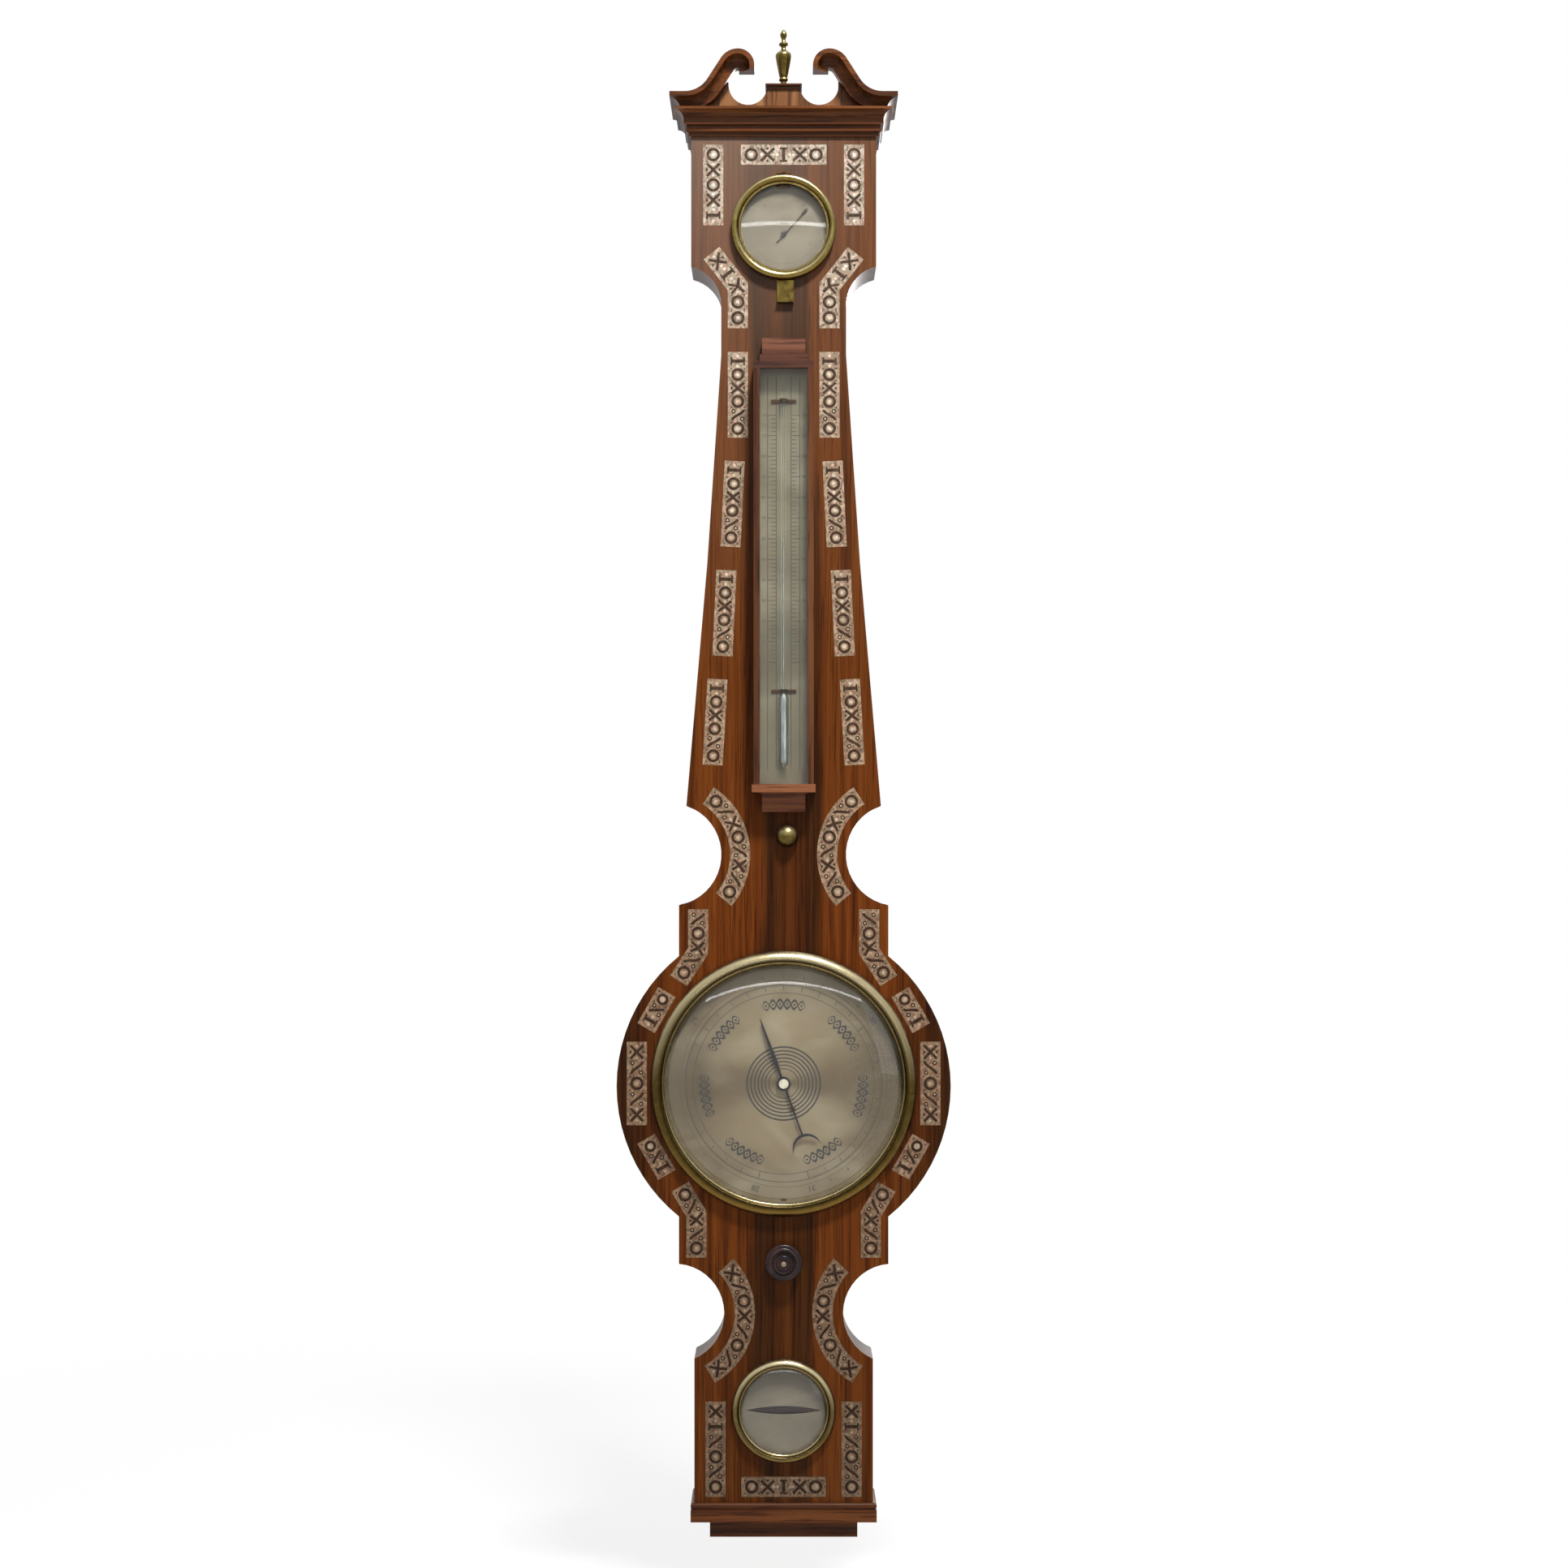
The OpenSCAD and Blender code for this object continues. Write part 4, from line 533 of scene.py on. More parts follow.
def mother_of_pearl(name, grey, cream, white):
    """Shell with cloudy bands that lean to pink and green, polished flat with the varnish."""
    paint, tree, shader = new_finish(name, Specular_IOR_Level=0.25, Roughness=0.3)
    shell = cloud(tree, (170.0, 170.0, 130.0), 3.0, 2.2)
    wash = cloud(tree, (420.0, 420.0, 420.0), 2.0, 1.0)
    body = ramp(tree, shell, [(0.3, grey), (0.48, cream), (0.64, white)])
    lustre = ramp(tree, wash, [(0.35, tone(255, 226, 214)), (0.5, tone(250, 250, 244)),
                               (0.65, tone(226, 244, 236))])
    clean = blend(tree, 0.8, body, lustre, "MULTIPLY")
    # The shell takes painted shade towards the foot.
    tree.links.new(browned(tree, clean), shader.inputs["Base Color"])
    relief(tree, shader, shell, 0.08, 0.2)
    return paint


pearl_paint = mother_of_pearl("mother_of_pearl", tone(118, 101, 87), tone(160, 142, 126), tone(203, 190, 176))
bright_paint = mother_of_pearl("bright_pearl", tone(190, 178, 166), tone(216, 207, 197), tone(240, 236, 230))
for name, group in panels.items():
    bm = bmesh.new()
    for rows, pattern in group:
        fret_panel(bm, rows, pattern)
    piece(name.replace("inlay", "fret"), bm, "case", "pearl", [mastic, pearl_paint, bright_paint], [name])


# Cornice, pediment and swan necks: rosewood mouldings planed to a cove and fillets, mitred round the
# head and glued, with a fretted board behind the two swan necks and a small cap on its tablet.
CROSSWISE = (2.4, 60.0, 60.0)


def polished_wood(name, dark, middle, light, along, gloss, sheen):
    """French-polished wood whose grain runs along the axis with the smallest number in along."""
    paint, tree, shader = new_finish(name, Specular_IOR_Level=sheen)
    figure = cloud(tree, along, 7.0, 0.7)
    pores = cloud(tree, [s * 7 for s in along], 3.0)
    body = ramp(tree, figure, [(0.3, dark), (0.5, middle), (0.68, light)])
    fleck = ramp(tree, pores, [(0.36, PORE), (0.47, PLAIN)])
    lay(tree, shader, blend(tree, 0.7, body, fleck, "MULTIPLY"),
        span(tree, figure, 0.3, 0.7, gloss + 0.12, gloss))
    relief(tree, shader, pores, 0.12, 0.25)
    return paint


moulding_wood = polished_wood("rosewood_moulding", tone(46, 22, 9), tone(80, 42, 17), tone(112, 64, 30),
                              CROSSWISE, 0.28, 0.12)
# Painted light: the board takes a paler copy of the rosewood, lit as if from the front where the swan necks shade it.
lit_board_wood = polished_wood("rosewood_board_painted_light", tone(88, 52, 28), tone(119, 76, 43), tone(144, 100, 62),
                           UPRIGHT, 0.3, 0.15)
dress(moulding_wood, "cornice", "swan_mouldings", "tablet_cap")
dress(lit_board_wood, "pediment_board")


# Finial: an urn of brass turned in one piece with its collar and ball,
# standing on the tablet with a peg driven into the board.
def turned(bm, profile, place, count, closed=False):
    """A turned solid from rows of (radius, height); place puts one point of it."""
    rings = []
    for r, h in profile:
        steps = range(count if r else 1)
        rings.append([bm.verts.new(place(r, h, 2 * math.pi * i / count)) for i in steps])
    pairs = list(zip(rings, rings[1:])) + ([(rings[-1], rings[0])] if closed else [])
    for p, q in pairs:
        for i in range(count):
            ring = [p[i % len(p)], p[(i + 1) % len(p)], q[(i + 1) % len(q)], q[i % len(q)]]
            bm.faces.new(dict.fromkeys(ring))


def brass(name, deep, bright, lit_top, rough):
    """Old lacquered brass: warm metal, browner in patches, with a painted highlight that pales it where it faces up.
    """
    paint, tree, shader = new_finish(name, Metallic=1.0)
    patch = cloud(tree, (120.0, 120.0, 120.0), 4.0, 0.6)
    wear = cloud(tree, (1080.0, 1080.0, 1080.0), 3.0)
    body = ramp(tree, patch, [(0.32, deep), (0.6, bright)])
    # Painted highlight: faces that look up are blended towards a pale tone, as if lit from above.
    painted_facing_light = span(tree, reading(tree, "Normal", "Z"), 0.0, 0.7, 0.0, 0.75)
    lay(tree, shader, blend(tree, painted_facing_light, body, lit_top),
        span(tree, wear, 0.3, 0.7, rough + 0.14, rough))
    relief(tree, shader, wear, 0.03, 0.25)
    return paint


brass_paint = brass("lacquered_brass", tone(64, 51, 21), tone(102, 87, 44), tone(170, 156, 116), 0.26)
FINIAL_FOOT, FINIAL_AT = 837.0, 38.2
foot = [(0, 0), (4.2, 0), (4.3, 1), (3.8, 1.6), (2.7, 2.4), (2.5, 4.8), (3, 5.4), (3.8, 5.9), (4, 6.5),
        (3.8, 7.1), (3.4, 7.8)]
bowl = [(3.5, 9), (4.2, 12), (5, 16), (5.8, 20), (6.5, 24), (6.8, 26), (6.75, 27.4), (6.2, 28.6), (5, 29.7)]
neck = [(3.6, 30.6), (2.5, 31.6), (2, 32.8), (2, 34), (2.6, 35), (3.7, 35.6), (4, 36.4), (3.8, 37.2),
        (2.8, 37.9), (1.9, 39), (1.7, 40.4)]
bud = [(2, 41.6), (2.6, 42.8), (2.95, 44.2), (2.8, 45.6), (2.2, 46.8), (1.4, 48), (0.7, 48.8), (0, 49)]


def on_tablet(r, h, a):
    """A point of the urn, turned by a."""
    return corner(r * math.cos(a), FINIAL_FOOT + h, FINIAL_AT + r * math.sin(a))


bm = bmesh.new()
turned(bm, foot + bowl + neck + bud, on_tablet, 64)
piece("brass_urn", bm, "case", "brass", [brass_paint], ["finial"], 40)


# Base: a rosewood moulding across the foot of the plinth and the block under it,
# mitred at the corners, glued and pinned.
dress(moulding_wood, "base_moulding")


# Hanging plate and screws: a plate of sheet brass let into the back of the head, with the hole that
# goes over the wall hook, and the brass screws that hold it, the tube cover and the bridge.
dress(brass_paint, "hanging_plate", "brass_screws")


# Siphon tube: a bent tube of clear glass with quicksilver in both limbs, laid in a channel behind
# a strip of pine that is screwed over it.
def clear_glass(name, tint, rough=0.02):
    """Clear glass that lets the lamps through to what is behind it, with faint smears on its face."""
    paint, tree, shader = new_finish(name, Transmission_Weight=1.0, IOR=1.32)
    smear = cloud(tree, (30.0, 30.0, 30.0), 4.0, 0.5)
    wiped = tuple(min(1.0, c * 1.03) for c in tint)
    lay(tree, shader, ramp(tree, smear, [(0.3, tint), (0.7, wiped)]),
        span(tree, smear, 0.3, 0.7, rough, rough + 0.03))
    to_lamp = add(tree, "LightPath").outputs["Is Shadow Ray"]
    open_way = add(tree, "BsdfTransparent", {"Color": (0.94, 0.95, 0.94, 1)})
    mixed = add(tree, "MixShader", {0: to_lamp, 1: shader.outputs[0], 2: open_way.outputs[0]})
    tree.links.new(mixed.outputs[0], tree.nodes["Material Output"].inputs["Surface"])
    return paint


tube_glass = clear_glass("tube_glass", (0.95, 0.97, 0.95))
quicksilver, tree, shader = new_finish("quicksilver", Metallic=1.0)
ripple = cloud(tree, (200.0, 200.0, 60.0), 2.0)
lay(tree, shader, ramp(tree, ripple, [(0.3, tone(186, 188, 190)), (0.7, tone(222, 224, 226))]),
    span(tree, ripple, 0.3, 0.7, 0.06, 0.12))
pine_strip, tree, shader = new_finish("bare_pine", Specular_IOR_Level=0.12)
figure = cloud(tree, UPRIGHT, 6.0, 0.6)
sawn = [(0.3, tone(164, 122, 76)), (0.5, tone(190, 148, 98)), (0.7, tone(206, 168, 118))]
lay(tree, shader, ramp(tree, figure, sawn), span(tree, figure, 0.3, 0.7, 0.78, 0.66))
relief(tree, shader, figure, 0.2, 0.3)
dress(tube_glass, "siphon_tube")
dress(quicksilver, "mercury")
dress(pine_strip, "tube_cover")


def drawn_out(name, stands_for, slider, step, crest, swell, slot, paint, held_low=False):
    """A round piece held to the case at one end, which lengthens with a sliding body at the other.

    crest shapes its top: rows of (share of the radius, distance below the top)."""
    low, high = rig.box(stands_for)
    middle, r = (low + high) / 2, (high[0] - low[0]) / 2
    tall = (high[2] - low[2]) / MM
    rows = [(0, 0)] + [(1, step * i) for i in range(int((tall - 1) / step) + 1)]
    rows += [(q, tall - d) for q, d in crest]

    def place(q, h, a):
        out = r * q * swell(a, h)
        return (middle[0] + out * math.cos(a), middle[1] + out * math.sin(a), low[2] + h * MM)
    made = bmesh.new()
    turned(made, rows, place, 16)
    shown = piece(name, made, None, slot, [paint], [stands_for], 40)
    ends = [(middle[0], middle[1], z) for z in (low[2], high[2])]
    start, end = ends if held_low else ends[::-1]
    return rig.blend(shown, "case", slider, start=start, end=end)


MENISCUS = [(1, 0.9), (0.96, 0.4), (0.84, 0.1), (0.6, 0), (0, 0)]
drawn_out("open_limb_mercury", "open_mercury", "float", 2.0, MENISCUS, lambda a, h: 1.0,
          "quicksilver", quicksilver, held_low=True)


# Main dial: a plate of brass, silvered and lacquered, let into the front of the case. Its scale, a rosette
# of rings and plain flourishes are engraved and filled with black wax.
FRONT = 47.2
INK_DEEP, INK_PROUD = 0.06, 0.03
SCALE_START, INCH_TURN, SCALE_R = -165, 110, 82.4
INCH_LOW, TENTH_LOW, HALF_LOW, FINE_LOW = 75.8, 78.0, 79.8, 80.8
LOWEST_INCH, INCHES = 28, 3
INCH_R, TENTH_R, INCH_SIZE, TENTH_SIZE = 90.6, 89.2, 7.0, 3.6
FLOURISH_R, FLOURISH_LONG, FLOURISH_TALL = 66.5, 36.0, 3.6
OVAL_UP, OVAL_HALF, OVAL_STRETCH = -97.2, 1.3, 1.9


def out_from(tree, centre):
    """The way out from a centre across the face of the case."""
    place = add(tree, "TexCoord").outputs["Object"]
    arm = add(tree, "VectorMath", {0: place, 1: centre}, operation="SUBTRACT").outputs[0]
    return add(tree, "VectorMath", {0: arm, 1: (1.0, 0.0, 1.0)}, operation="MULTIPLY").outputs[0]


def length_of(tree, arm):
    """How long an arm is, in metres."""
    return add(tree, "VectorMath", {0: arm}, operation="LENGTH").outputs["Value"]


def silvered(name, shade, middle, bright, centre=None):
    """Silvered brass under lacquer: soft grey metal, warm in patches.

    Where it has a centre, painted light makes it darker to the sides, as a face brushed in circles reflects, and
    painted shade darkens it towards the rim."""
    paint, tree, shader = new_finish(name, Metallic=0.15, Specular_IOR_Level=0.2)
    patch = cloud(tree, (14.0, 14.0, 22.0), 5.0, 0.8)
    rub = cloud(tree, (90.0, 90.0, 2500.0), 2.0)
    body = ramp(tree, patch, [(0.3, shade), (0.5, middle), (0.7, bright)])
    if centre:
        flat = out_from(tree, centre)
        way = add(tree, "VectorMath", {0: flat}, operation="NORMALIZE").outputs[0]
        aside = add(tree, "SeparateXYZ", {"Vector": way}).outputs["X"]
        aside = reckon(tree, "MULTIPLY", aside, aside)
        # Painted reflection: darker to the sides and paler above and below, as a face brushed in circles catches the
        # light.
        painted_side_shade = ramp(tree, aside, [(0.0, PLAIN), (0.5, (0.92, 0.92, 0.91)),
                                         (0.75, (0.78, 0.76, 0.73)), (1.0, (0.52, 0.49, 0.45))])
        body = blend(tree, 1.0, body, painted_side_shade, "MULTIPLY")
        # Painted shade: darker towards the rim.
        painted_rim_shade = ramp(tree, span(tree, length_of(tree, flat), 0.05, 0.1, 0.0, 1.0),
                      [(0.1, PLAIN), (0.5, (0.8, 0.8, 0.8)), (1.0, (0.78, 0.79, 0.79))])
        body = blend(tree, 1.0, body, painted_rim_shade, "MULTIPLY")
    lay(tree, shader, body, span(tree, rub, 0.3, 0.7, 0.4, 0.52))
    return paint


dial_silver = silvered("silvered_dial", tone(106, 90, 66), tone(125, 111, 87), tone(143, 132, 110),
                       corner(0, 0, 0))
wax, tree, shader = new_finish("black_wax", IOR=1.45)
crumb = cloud(tree, (1500.0, 1500.0, 1500.0), 2.0)
lay(tree, shader, ramp(tree, crumb, [(0.3, tone(20, 18, 16)), (0.7, tone(46, 42, 37))]),
    span(tree, crumb, 0.3, 0.7, 0.5, 0.75))


def ring_line(bm, x, z, r, wide, level, count=180):
    """An engraved circle on a plate whose face is at level."""
    loops = [[(x + q * math.cos(2 * math.pi * i / count), z + q * math.sin(2 * math.pi * i / count))
              for i in range(count)] for q in (r + wide / 2, r - wide / 2)]
    plate(bm, loops[0], level - INK_DEEP, level + INK_PROUD, loops[1])


def ink(bm, loop, level):
    """A cut shape filled with wax, a hair proud of the plate's face at level."""
    plate(bm, loop, level - INK_DEEP, level + INK_PROUD)


def clock(x, z, r, turn):
    """A point at radius r, turned clockwise from the top by degrees."""
    return x + r * math.sin(math.radians(turn)), z + r * math.cos(math.radians(turn))


def tick(bm, x, z, turn, low, high, wide, level):
    """A division of a round scale, from radius low to high."""
    swing = math.degrees(wide / 2 / high)
    ink(bm, [clock(x, z, low, turn - swing * high / low), clock(x, z, low, turn + swing * high / low),
             clock(x, z, high, turn + swing), clock(x, z, high, turn - swing)], level)


def numeral(bm, text, size, x, z, turn, level):
    """Engraved figures centred at x and z, turned clockwise from upright."""
    letters = bpy.data.curves.new("figures", "FONT")
    letters.body, letters.size, letters.align_x, letters.align_y = text, size, "CENTER", "CENTER"
    letters.extrude = (INK_DEEP + INK_PROUD) / 2
    letters.resolution_u = 3
    holder = bpy.data.objects.new("figures", letters)
    bpy.context.scene.collection.objects.link(holder)
    cut = holder.evaluated_get(bpy.context.evaluated_depsgraph_get()).to_mesh()
    c, s = math.cos(math.radians(turn)), math.sin(math.radians(turn))
    verts = [bm.verts.new(corner(x + v.co.x * c + v.co.y * s, z - v.co.x * s + v.co.y * c,
                                 level + (INK_PROUD - INK_DEEP) / 2 + v.co.z)) for v in cut.vertices]
    for face in cut.polygons:
        bm.faces.new([verts[i] for i in face.vertices])
    bpy.data.objects.remove(holder)
    bpy.data.curves.remove(letters)


def flourish(bm, turn, r, level):
    """A plain flourish: two waves that cross each other, bent round the dial at radius r."""
    def bent(loop):
        return [clock(0, 0, r + v, turn + math.degrees(u / r)) for u, v in loop]
    for way in (1, -1):
        left, right = [], []
        for i in range(61):
            part = i / 60
            u, v = FLOURISH_LONG * (part - 0.5), way * FLOURISH_TALL * math.sin(part * 6 * math.pi)
            half = 0.5 + 0.8 * math.sin(part * math.pi)
            left.append((u, v + half))
            right.append((u, v - half))
        strip(bm, bent(left), bent(right), level - INK_DEEP, level + INK_PROUD + (0.01 if way < 0 else 0))
    for i in range(6):
        ink(bm, bent(round_loop(FLOURISH_LONG / 6 * (i - 2.5), 0, 0.9, 12)), level)


scale_rings = ((96.5, 0.3), (86.5, 0.3), (SCALE_R, 0.5), (75.8, 0.4))
rosette = ((30.6, 1.4), (27.4, 1.2), (24.4, 1.2), (21.4, 1.2), (18.4, 1.1), (15.4, 0.9), (12.4, 0.7))
bm = bmesh.new()
for r, wide in scale_rings + rosette:
    ring_line(bm, 0, 0, r, wide, FRONT)
for i in range(100 * INCHES + 1):
    low = FINE_LOW if i % 5 else HALF_LOW if i % 10 else TENTH_LOW if i % 100 else INCH_LOW
    wide = 0.3 if i % 10 else 0.55
    tick(bm, 0, 0, SCALE_START + INCH_TURN / 100 * i, low, SCALE_R, wide, FRONT)
for i in range(INCHES + 1):
    turn = SCALE_START + INCH_TURN * i
    numeral(bm, str(LOWEST_INCH + i), INCH_SIZE, *clock(0, 0, INCH_R, turn), turn, FRONT)
for i in range(10 * INCHES + 1):
    turn = SCALE_START + INCH_TURN / 10 * i
    if i % 10:
        numeral(bm, str(i % 10), TENTH_SIZE, *clock(0, 0, TENTH_R, turn), turn, FRONT)
for turn in (-150, -99, -50, 0, 50, 99, 150):
    flourish(bm, turn, FLOURISH_R, FRONT)
ink(bm, [(OVAL_STRETCH * x, OVAL_UP + y) for x, y in round_loop(0, 0, OVAL_HALF, 20)], FRONT)
piece("main_dial_engraving", bm, "case", "silvered_brass", [wax])
dress(dial_silver, "main_dial")


# Movement: a brass bridge behind the dial carries the hand's arbor with a pulley, a glass float and
# its weight hang on silk threads, and an endless cord joins the set knob to the set hand's pipe.
float_glass = clear_glass("float_glass", (0.9, 0.94, 0.92), 0.05)


def spun_cord(name, dark, light):
    """Spun silk or gut with a fine twist."""
    paint, tree, shader = new_finish(name, Sheen_Weight=0.2, Roughness=0.8)
    twist = cloud(tree, (2500.0, 2500.0, 1600.0), 2.0)
    tree.links.new(ramp(tree, twist, [(0.35, dark), (0.65, light)]), shader.inputs["Base Color"])
    relief(tree, shader, twist, 0.05, 0.6)
    return paint


silk = spun_cord("silk_thread", tone(150, 126, 86), tone(200, 178, 134))
dress(brass_paint, "arbor_bridge", "hand_arbor", "thread_pulley", "set_pipe", "counterweight")
dress(silk, "drive_cord")
dress(float_glass, "float")
PLY_TURN = 0.9


def two_ply(a, h):
    """The swell of a thread of two strands, twisted round each other."""
    return 0.8 + 0.2 * abs(math.cos(a - PLY_TURN * h))


for slider in ("float", "weight"):
    drawn_out(slider + "_silk", slider + "_thread", slider, 0.4, [(1, 0), (0, 0)], two_ply, "cord", silk)


# Hands: the steel hand is filed thin, polished and blued, on a brass boss at the end of its arbor;
# the set hand behind it is cut from sheet brass that has gone brown, and sits on its own pipe.
def hand_metal(name, dark, light):
    """Thin metal, darker and duller in patches."""
    paint, tree, shader = new_finish(name, Metallic=0.8)
    stain = cloud(tree, (160.0, 160.0, 160.0), 3.0)
    lay(tree, shader, ramp(tree, stain, [(0.35, dark), (0.65, light)]),
        span(tree, stain, 0.3, 0.7, 0.28, 0.42))
    return paint


blue_paint = hand_metal("blued_steel", tone(24, 22, 24), tone(46, 42, 44))
set_paint = hand_metal("set_hand_brass", tone(74, 52, 30), tone(112, 84, 48))
boss_brass = brass("polished_brass", tone(196, 186, 150), tone(226, 220, 196), tone(236, 230, 210), 0.14)
dress(blue_paint, "steel_hand")
dress(set_paint, "set_hand")
dress(boss_brass, "hand_boss")


# Bezel and glass of the main dial: a cast and turned brass ring pinned to the case, with a ground step
# that holds a glass blown to a dome, flatter in the middle and rounder at its rim.
dial_glass = clear_glass("dial_glass", (0.97, 0.98, 0.97))
GLASS_THICK, GLASS_LIFT, GLASS_BEND = 2.0, 0.2, 3.5
MAIN_LIP, MAIN_SEAT, MAIN_RISE = 99.7, 102.4, 10.4
MAIN_INNER, MAIN_OUTER, MAIN_TALL = 100.0, 111.5, 9.5


def domed_glass(name, up, lip, seat, rise, stands_for):
    """A closed dome of glass with a flat flange that sits in the step of its ring."""
    steps = [lip * math.sin(i * math.pi / 80) for i in range(41)]
    crown = [(r, rise * (1 - (r / lip) ** GLASS_BEND)) for r in steps]
    rows = ([(r, h + GLASS_THICK) for r, h in crown] + [(seat, GLASS_THICK), (seat, 0)]
            + [(r, h) for r, h in crown[-2::-1]])

    def place(r, h, a):
        return corner(r * math.sin(a), up + r * math.cos(a), FRONT + GLASS_LIFT + h)
    made = bmesh.new()
    turned(made, rows, place, 192)
    return piece(name, made, "case", "clear_glass", [dial_glass], [stands_for], 25)


domed_glass("main_dome", 0, MAIN_LIP, MAIN_SEAT, MAIN_RISE, "main_glass")


def turned_brass(name, up, inner, outer, crown, edge):
    """Brass of a dial ring: a crown between the tone of its outer edge and an inner corner with painted shadow beside
    a painted highlight on the inner bead; painted light also pales the faces that look up or down.
    """
    paint, tree, shader = new_finish(name, Metallic=1.0)
    patch = cloud(tree, (120.0, 120.0, 120.0), 4.0, 0.6)
    away = length_of(tree, out_from(tree, corner(0, up, 0)))
    across = span(tree, away, inner * MM, outer * MM, 0.0, 1.0)
    # Painted light across the ring: a paler inner bead as painted highlight, then painted shadow in the dark inner
    # corner.
    body = ramp(tree, across, [
        (0.0, tone(92, 80, 46)), (0.16, tone(112, 98, 58)), (0.24, tone(42, 33, 15)),
        (0.34, tone(60, 48, 21)), (0.5, crown), (0.8, crown), (0.94, edge), (0.98, tone(46, 30, 14))])
    stained = ramp(tree, patch, [(0.3, tone(170, 150, 120)), (0.6, PLAIN)])
    mottled = blend(tree, 0.6, body, stained, "MULTIPLY")
    # Painted highlight on faces that look up and painted reflected light on faces that look down.
    facing = reading(tree, "Normal", "Z")
    on_ring = reckon(tree, "LESS_THAN", across, 0.97)
    painted_top_highlight = reckon(tree, "MULTIPLY", on_ring, span(tree, facing, 0.0, 0.45, 0.0, 0.85))
    under = reckon(tree, "MULTIPLY", on_ring, span(tree, facing, -0.15, -0.6, 0.0, 0.6))
    painted_facing_light = blend(tree, under, mottled, tone(150, 118, 58))
    lay(tree, shader, blend(tree, painted_top_highlight, painted_facing_light, tone(186, 174, 138)), span(tree, patch, 0.3, 0.7, 0.34, 0.22))
    return paint


def dial_ring(name, up, inner, seat, outer, tall, paint, stands_for):
    """A turned ring: a broad quarter round outside, a bead inside and a rebate behind for the glass."""
    crown, edge, rebate = inner + 3.2, 1.4, 2.4
    rows = [(outer, 0)]
    for i in range(16, -1, -1):
        turn = i * math.pi / 32
        rows.append((crown + (outer - crown) * math.sin(turn), edge + (tall - edge) * math.cos(turn)))
    rows += [(crown - 0.5, tall), (crown - 0.8, tall - 0.5), (crown - 0.9, tall - 2.2)]
    for i in range(9):
        turn = i * math.pi / 8
        rows.append((inner + 1.2 + 1.0 * math.cos(turn), tall - 2.6 + 0.8 * math.sin(turn)))
    rows += [(inner, tall - 3.2), (inner, rebate), (seat + 0.1, rebate), (seat + 0.1, 0)]
    made = bmesh.new()
    turned(made, rows, lambda r, h, a: corner(r * math.sin(a), up + r * math.cos(a), FRONT + h), 192, True)
    return piece(name, made, "case", "brass", [paint], [stands_for], 35)


main_ring_brass = turned_brass("main_ring_brass", 0, MAIN_INNER, MAIN_OUTER + 0.3, tone(84, 69, 33),
                               tone(62, 48, 21))
dial_ring("main_ring", 0, MAIN_INNER, MAIN_SEAT, MAIN_OUTER, MAIN_TALL, main_ring_brass, "main_bezel")


# Hygrometer: a silvered dial let into the head, with a hand moved by the twist of an oat beard. A brass
# ring with a low domed glass covers it, opens upwards on a hinge and is held below by a catch.
HYGRO_UP, HYGRO_FACE = 716.7, 46.2
ARBOR_UP = HYGRO_UP - 4.8
HYGRO_START, HYGRO_TURN, FINE_LINE = -120, 4, 0.22
HYGRO_OUTER, HYGRO_INNER, HYGRO_FIGURES = 33.8, 29.6, 25.2
HYGRO_SHORT, HYGRO_LONG, HYGRO_END = 30.2, 27.6, 33.6
SMALL_INNER, SMALL_OUTER = 36.0, 43.9
small_silver = silvered("silvered_small_dial", tone(88, 80, 67), tone(103, 95, 81), tone(119, 111, 97))
bm = bmesh.new()
for r in (HYGRO_OUTER, HYGRO_INNER):
    ring_line(bm, 0, HYGRO_UP, r, FINE_LINE, HYGRO_FACE, 120)
for i in range(61):
    turn = HYGRO_START + HYGRO_TURN * i
    low = HYGRO_SHORT if i % 5 else HYGRO_LONG
    tick(bm, 0, HYGRO_UP, turn, low, HYGRO_END, FINE_LINE, HYGRO_FACE)
for i in range(7):
    turn = HYGRO_START + 10 * HYGRO_TURN * i
    numeral(bm, str(10 * i), 3.0, *clock(0, HYGRO_UP, HYGRO_FIGURES, turn), turn, HYGRO_FACE)
piece("hygrometer_engraving", bm, "case", "silvered_brass", [wax])
straw = spun_cord("oat_straw", tone(150, 118, 62), tone(206, 176, 112))
dress(small_silver, "hygro_dial")
dress(straw, "hygro_beard")
tipped_steel, tree, shader = new_finish("tipped_steel", Metallic=0.3, Roughness=0.4)
place = add(tree, "TexCoord").outputs["Object"]
arbor = corner(0, ARBOR_UP, HYGRO_FACE + 1)
away = add(tree, "VectorMath", {0: place, 1: arbor}, operation="DISTANCE").outputs["Value"]
blotch = span(tree, cloud(tree, (300.0, 300.0, 300.0), 2.0), 0.3, 0.7, -0.001, 0.001)
along = span(tree, reckon(tree, "ADD", away, blotch), 0.0, 0.03, 0.0, 1.0)
temper = ramp(tree, along, [(0.0, tone(34, 30, 28)), (0.1, tone(44, 39, 36)), (0.16, tone(96, 89, 78)),
                            (0.68, tone(90, 82, 70)), (0.76, tone(46, 40, 35))])
tree.links.new(temper, shader.inputs["Base Color"])
dress(tipped_steel, "hygro_hand")
hygro_ring_brass = turned_brass("hygro_ring_brass", HYGRO_UP, SMALL_INNER, SMALL_OUTER, tone(116, 104, 56),
                                tone(146, 136, 86))
brown_brass = brass("browned_brass", tone(40, 26, 13), tone(62, 42, 22), tone(70, 50, 28), 0.4)
dress(hygro_ring_brass, "hygro_bezel")
dress(brown_brass, "hygro_hinge")
dress(brass_paint, "bezel_catch")
dress(dial_glass, "hygro_glass")


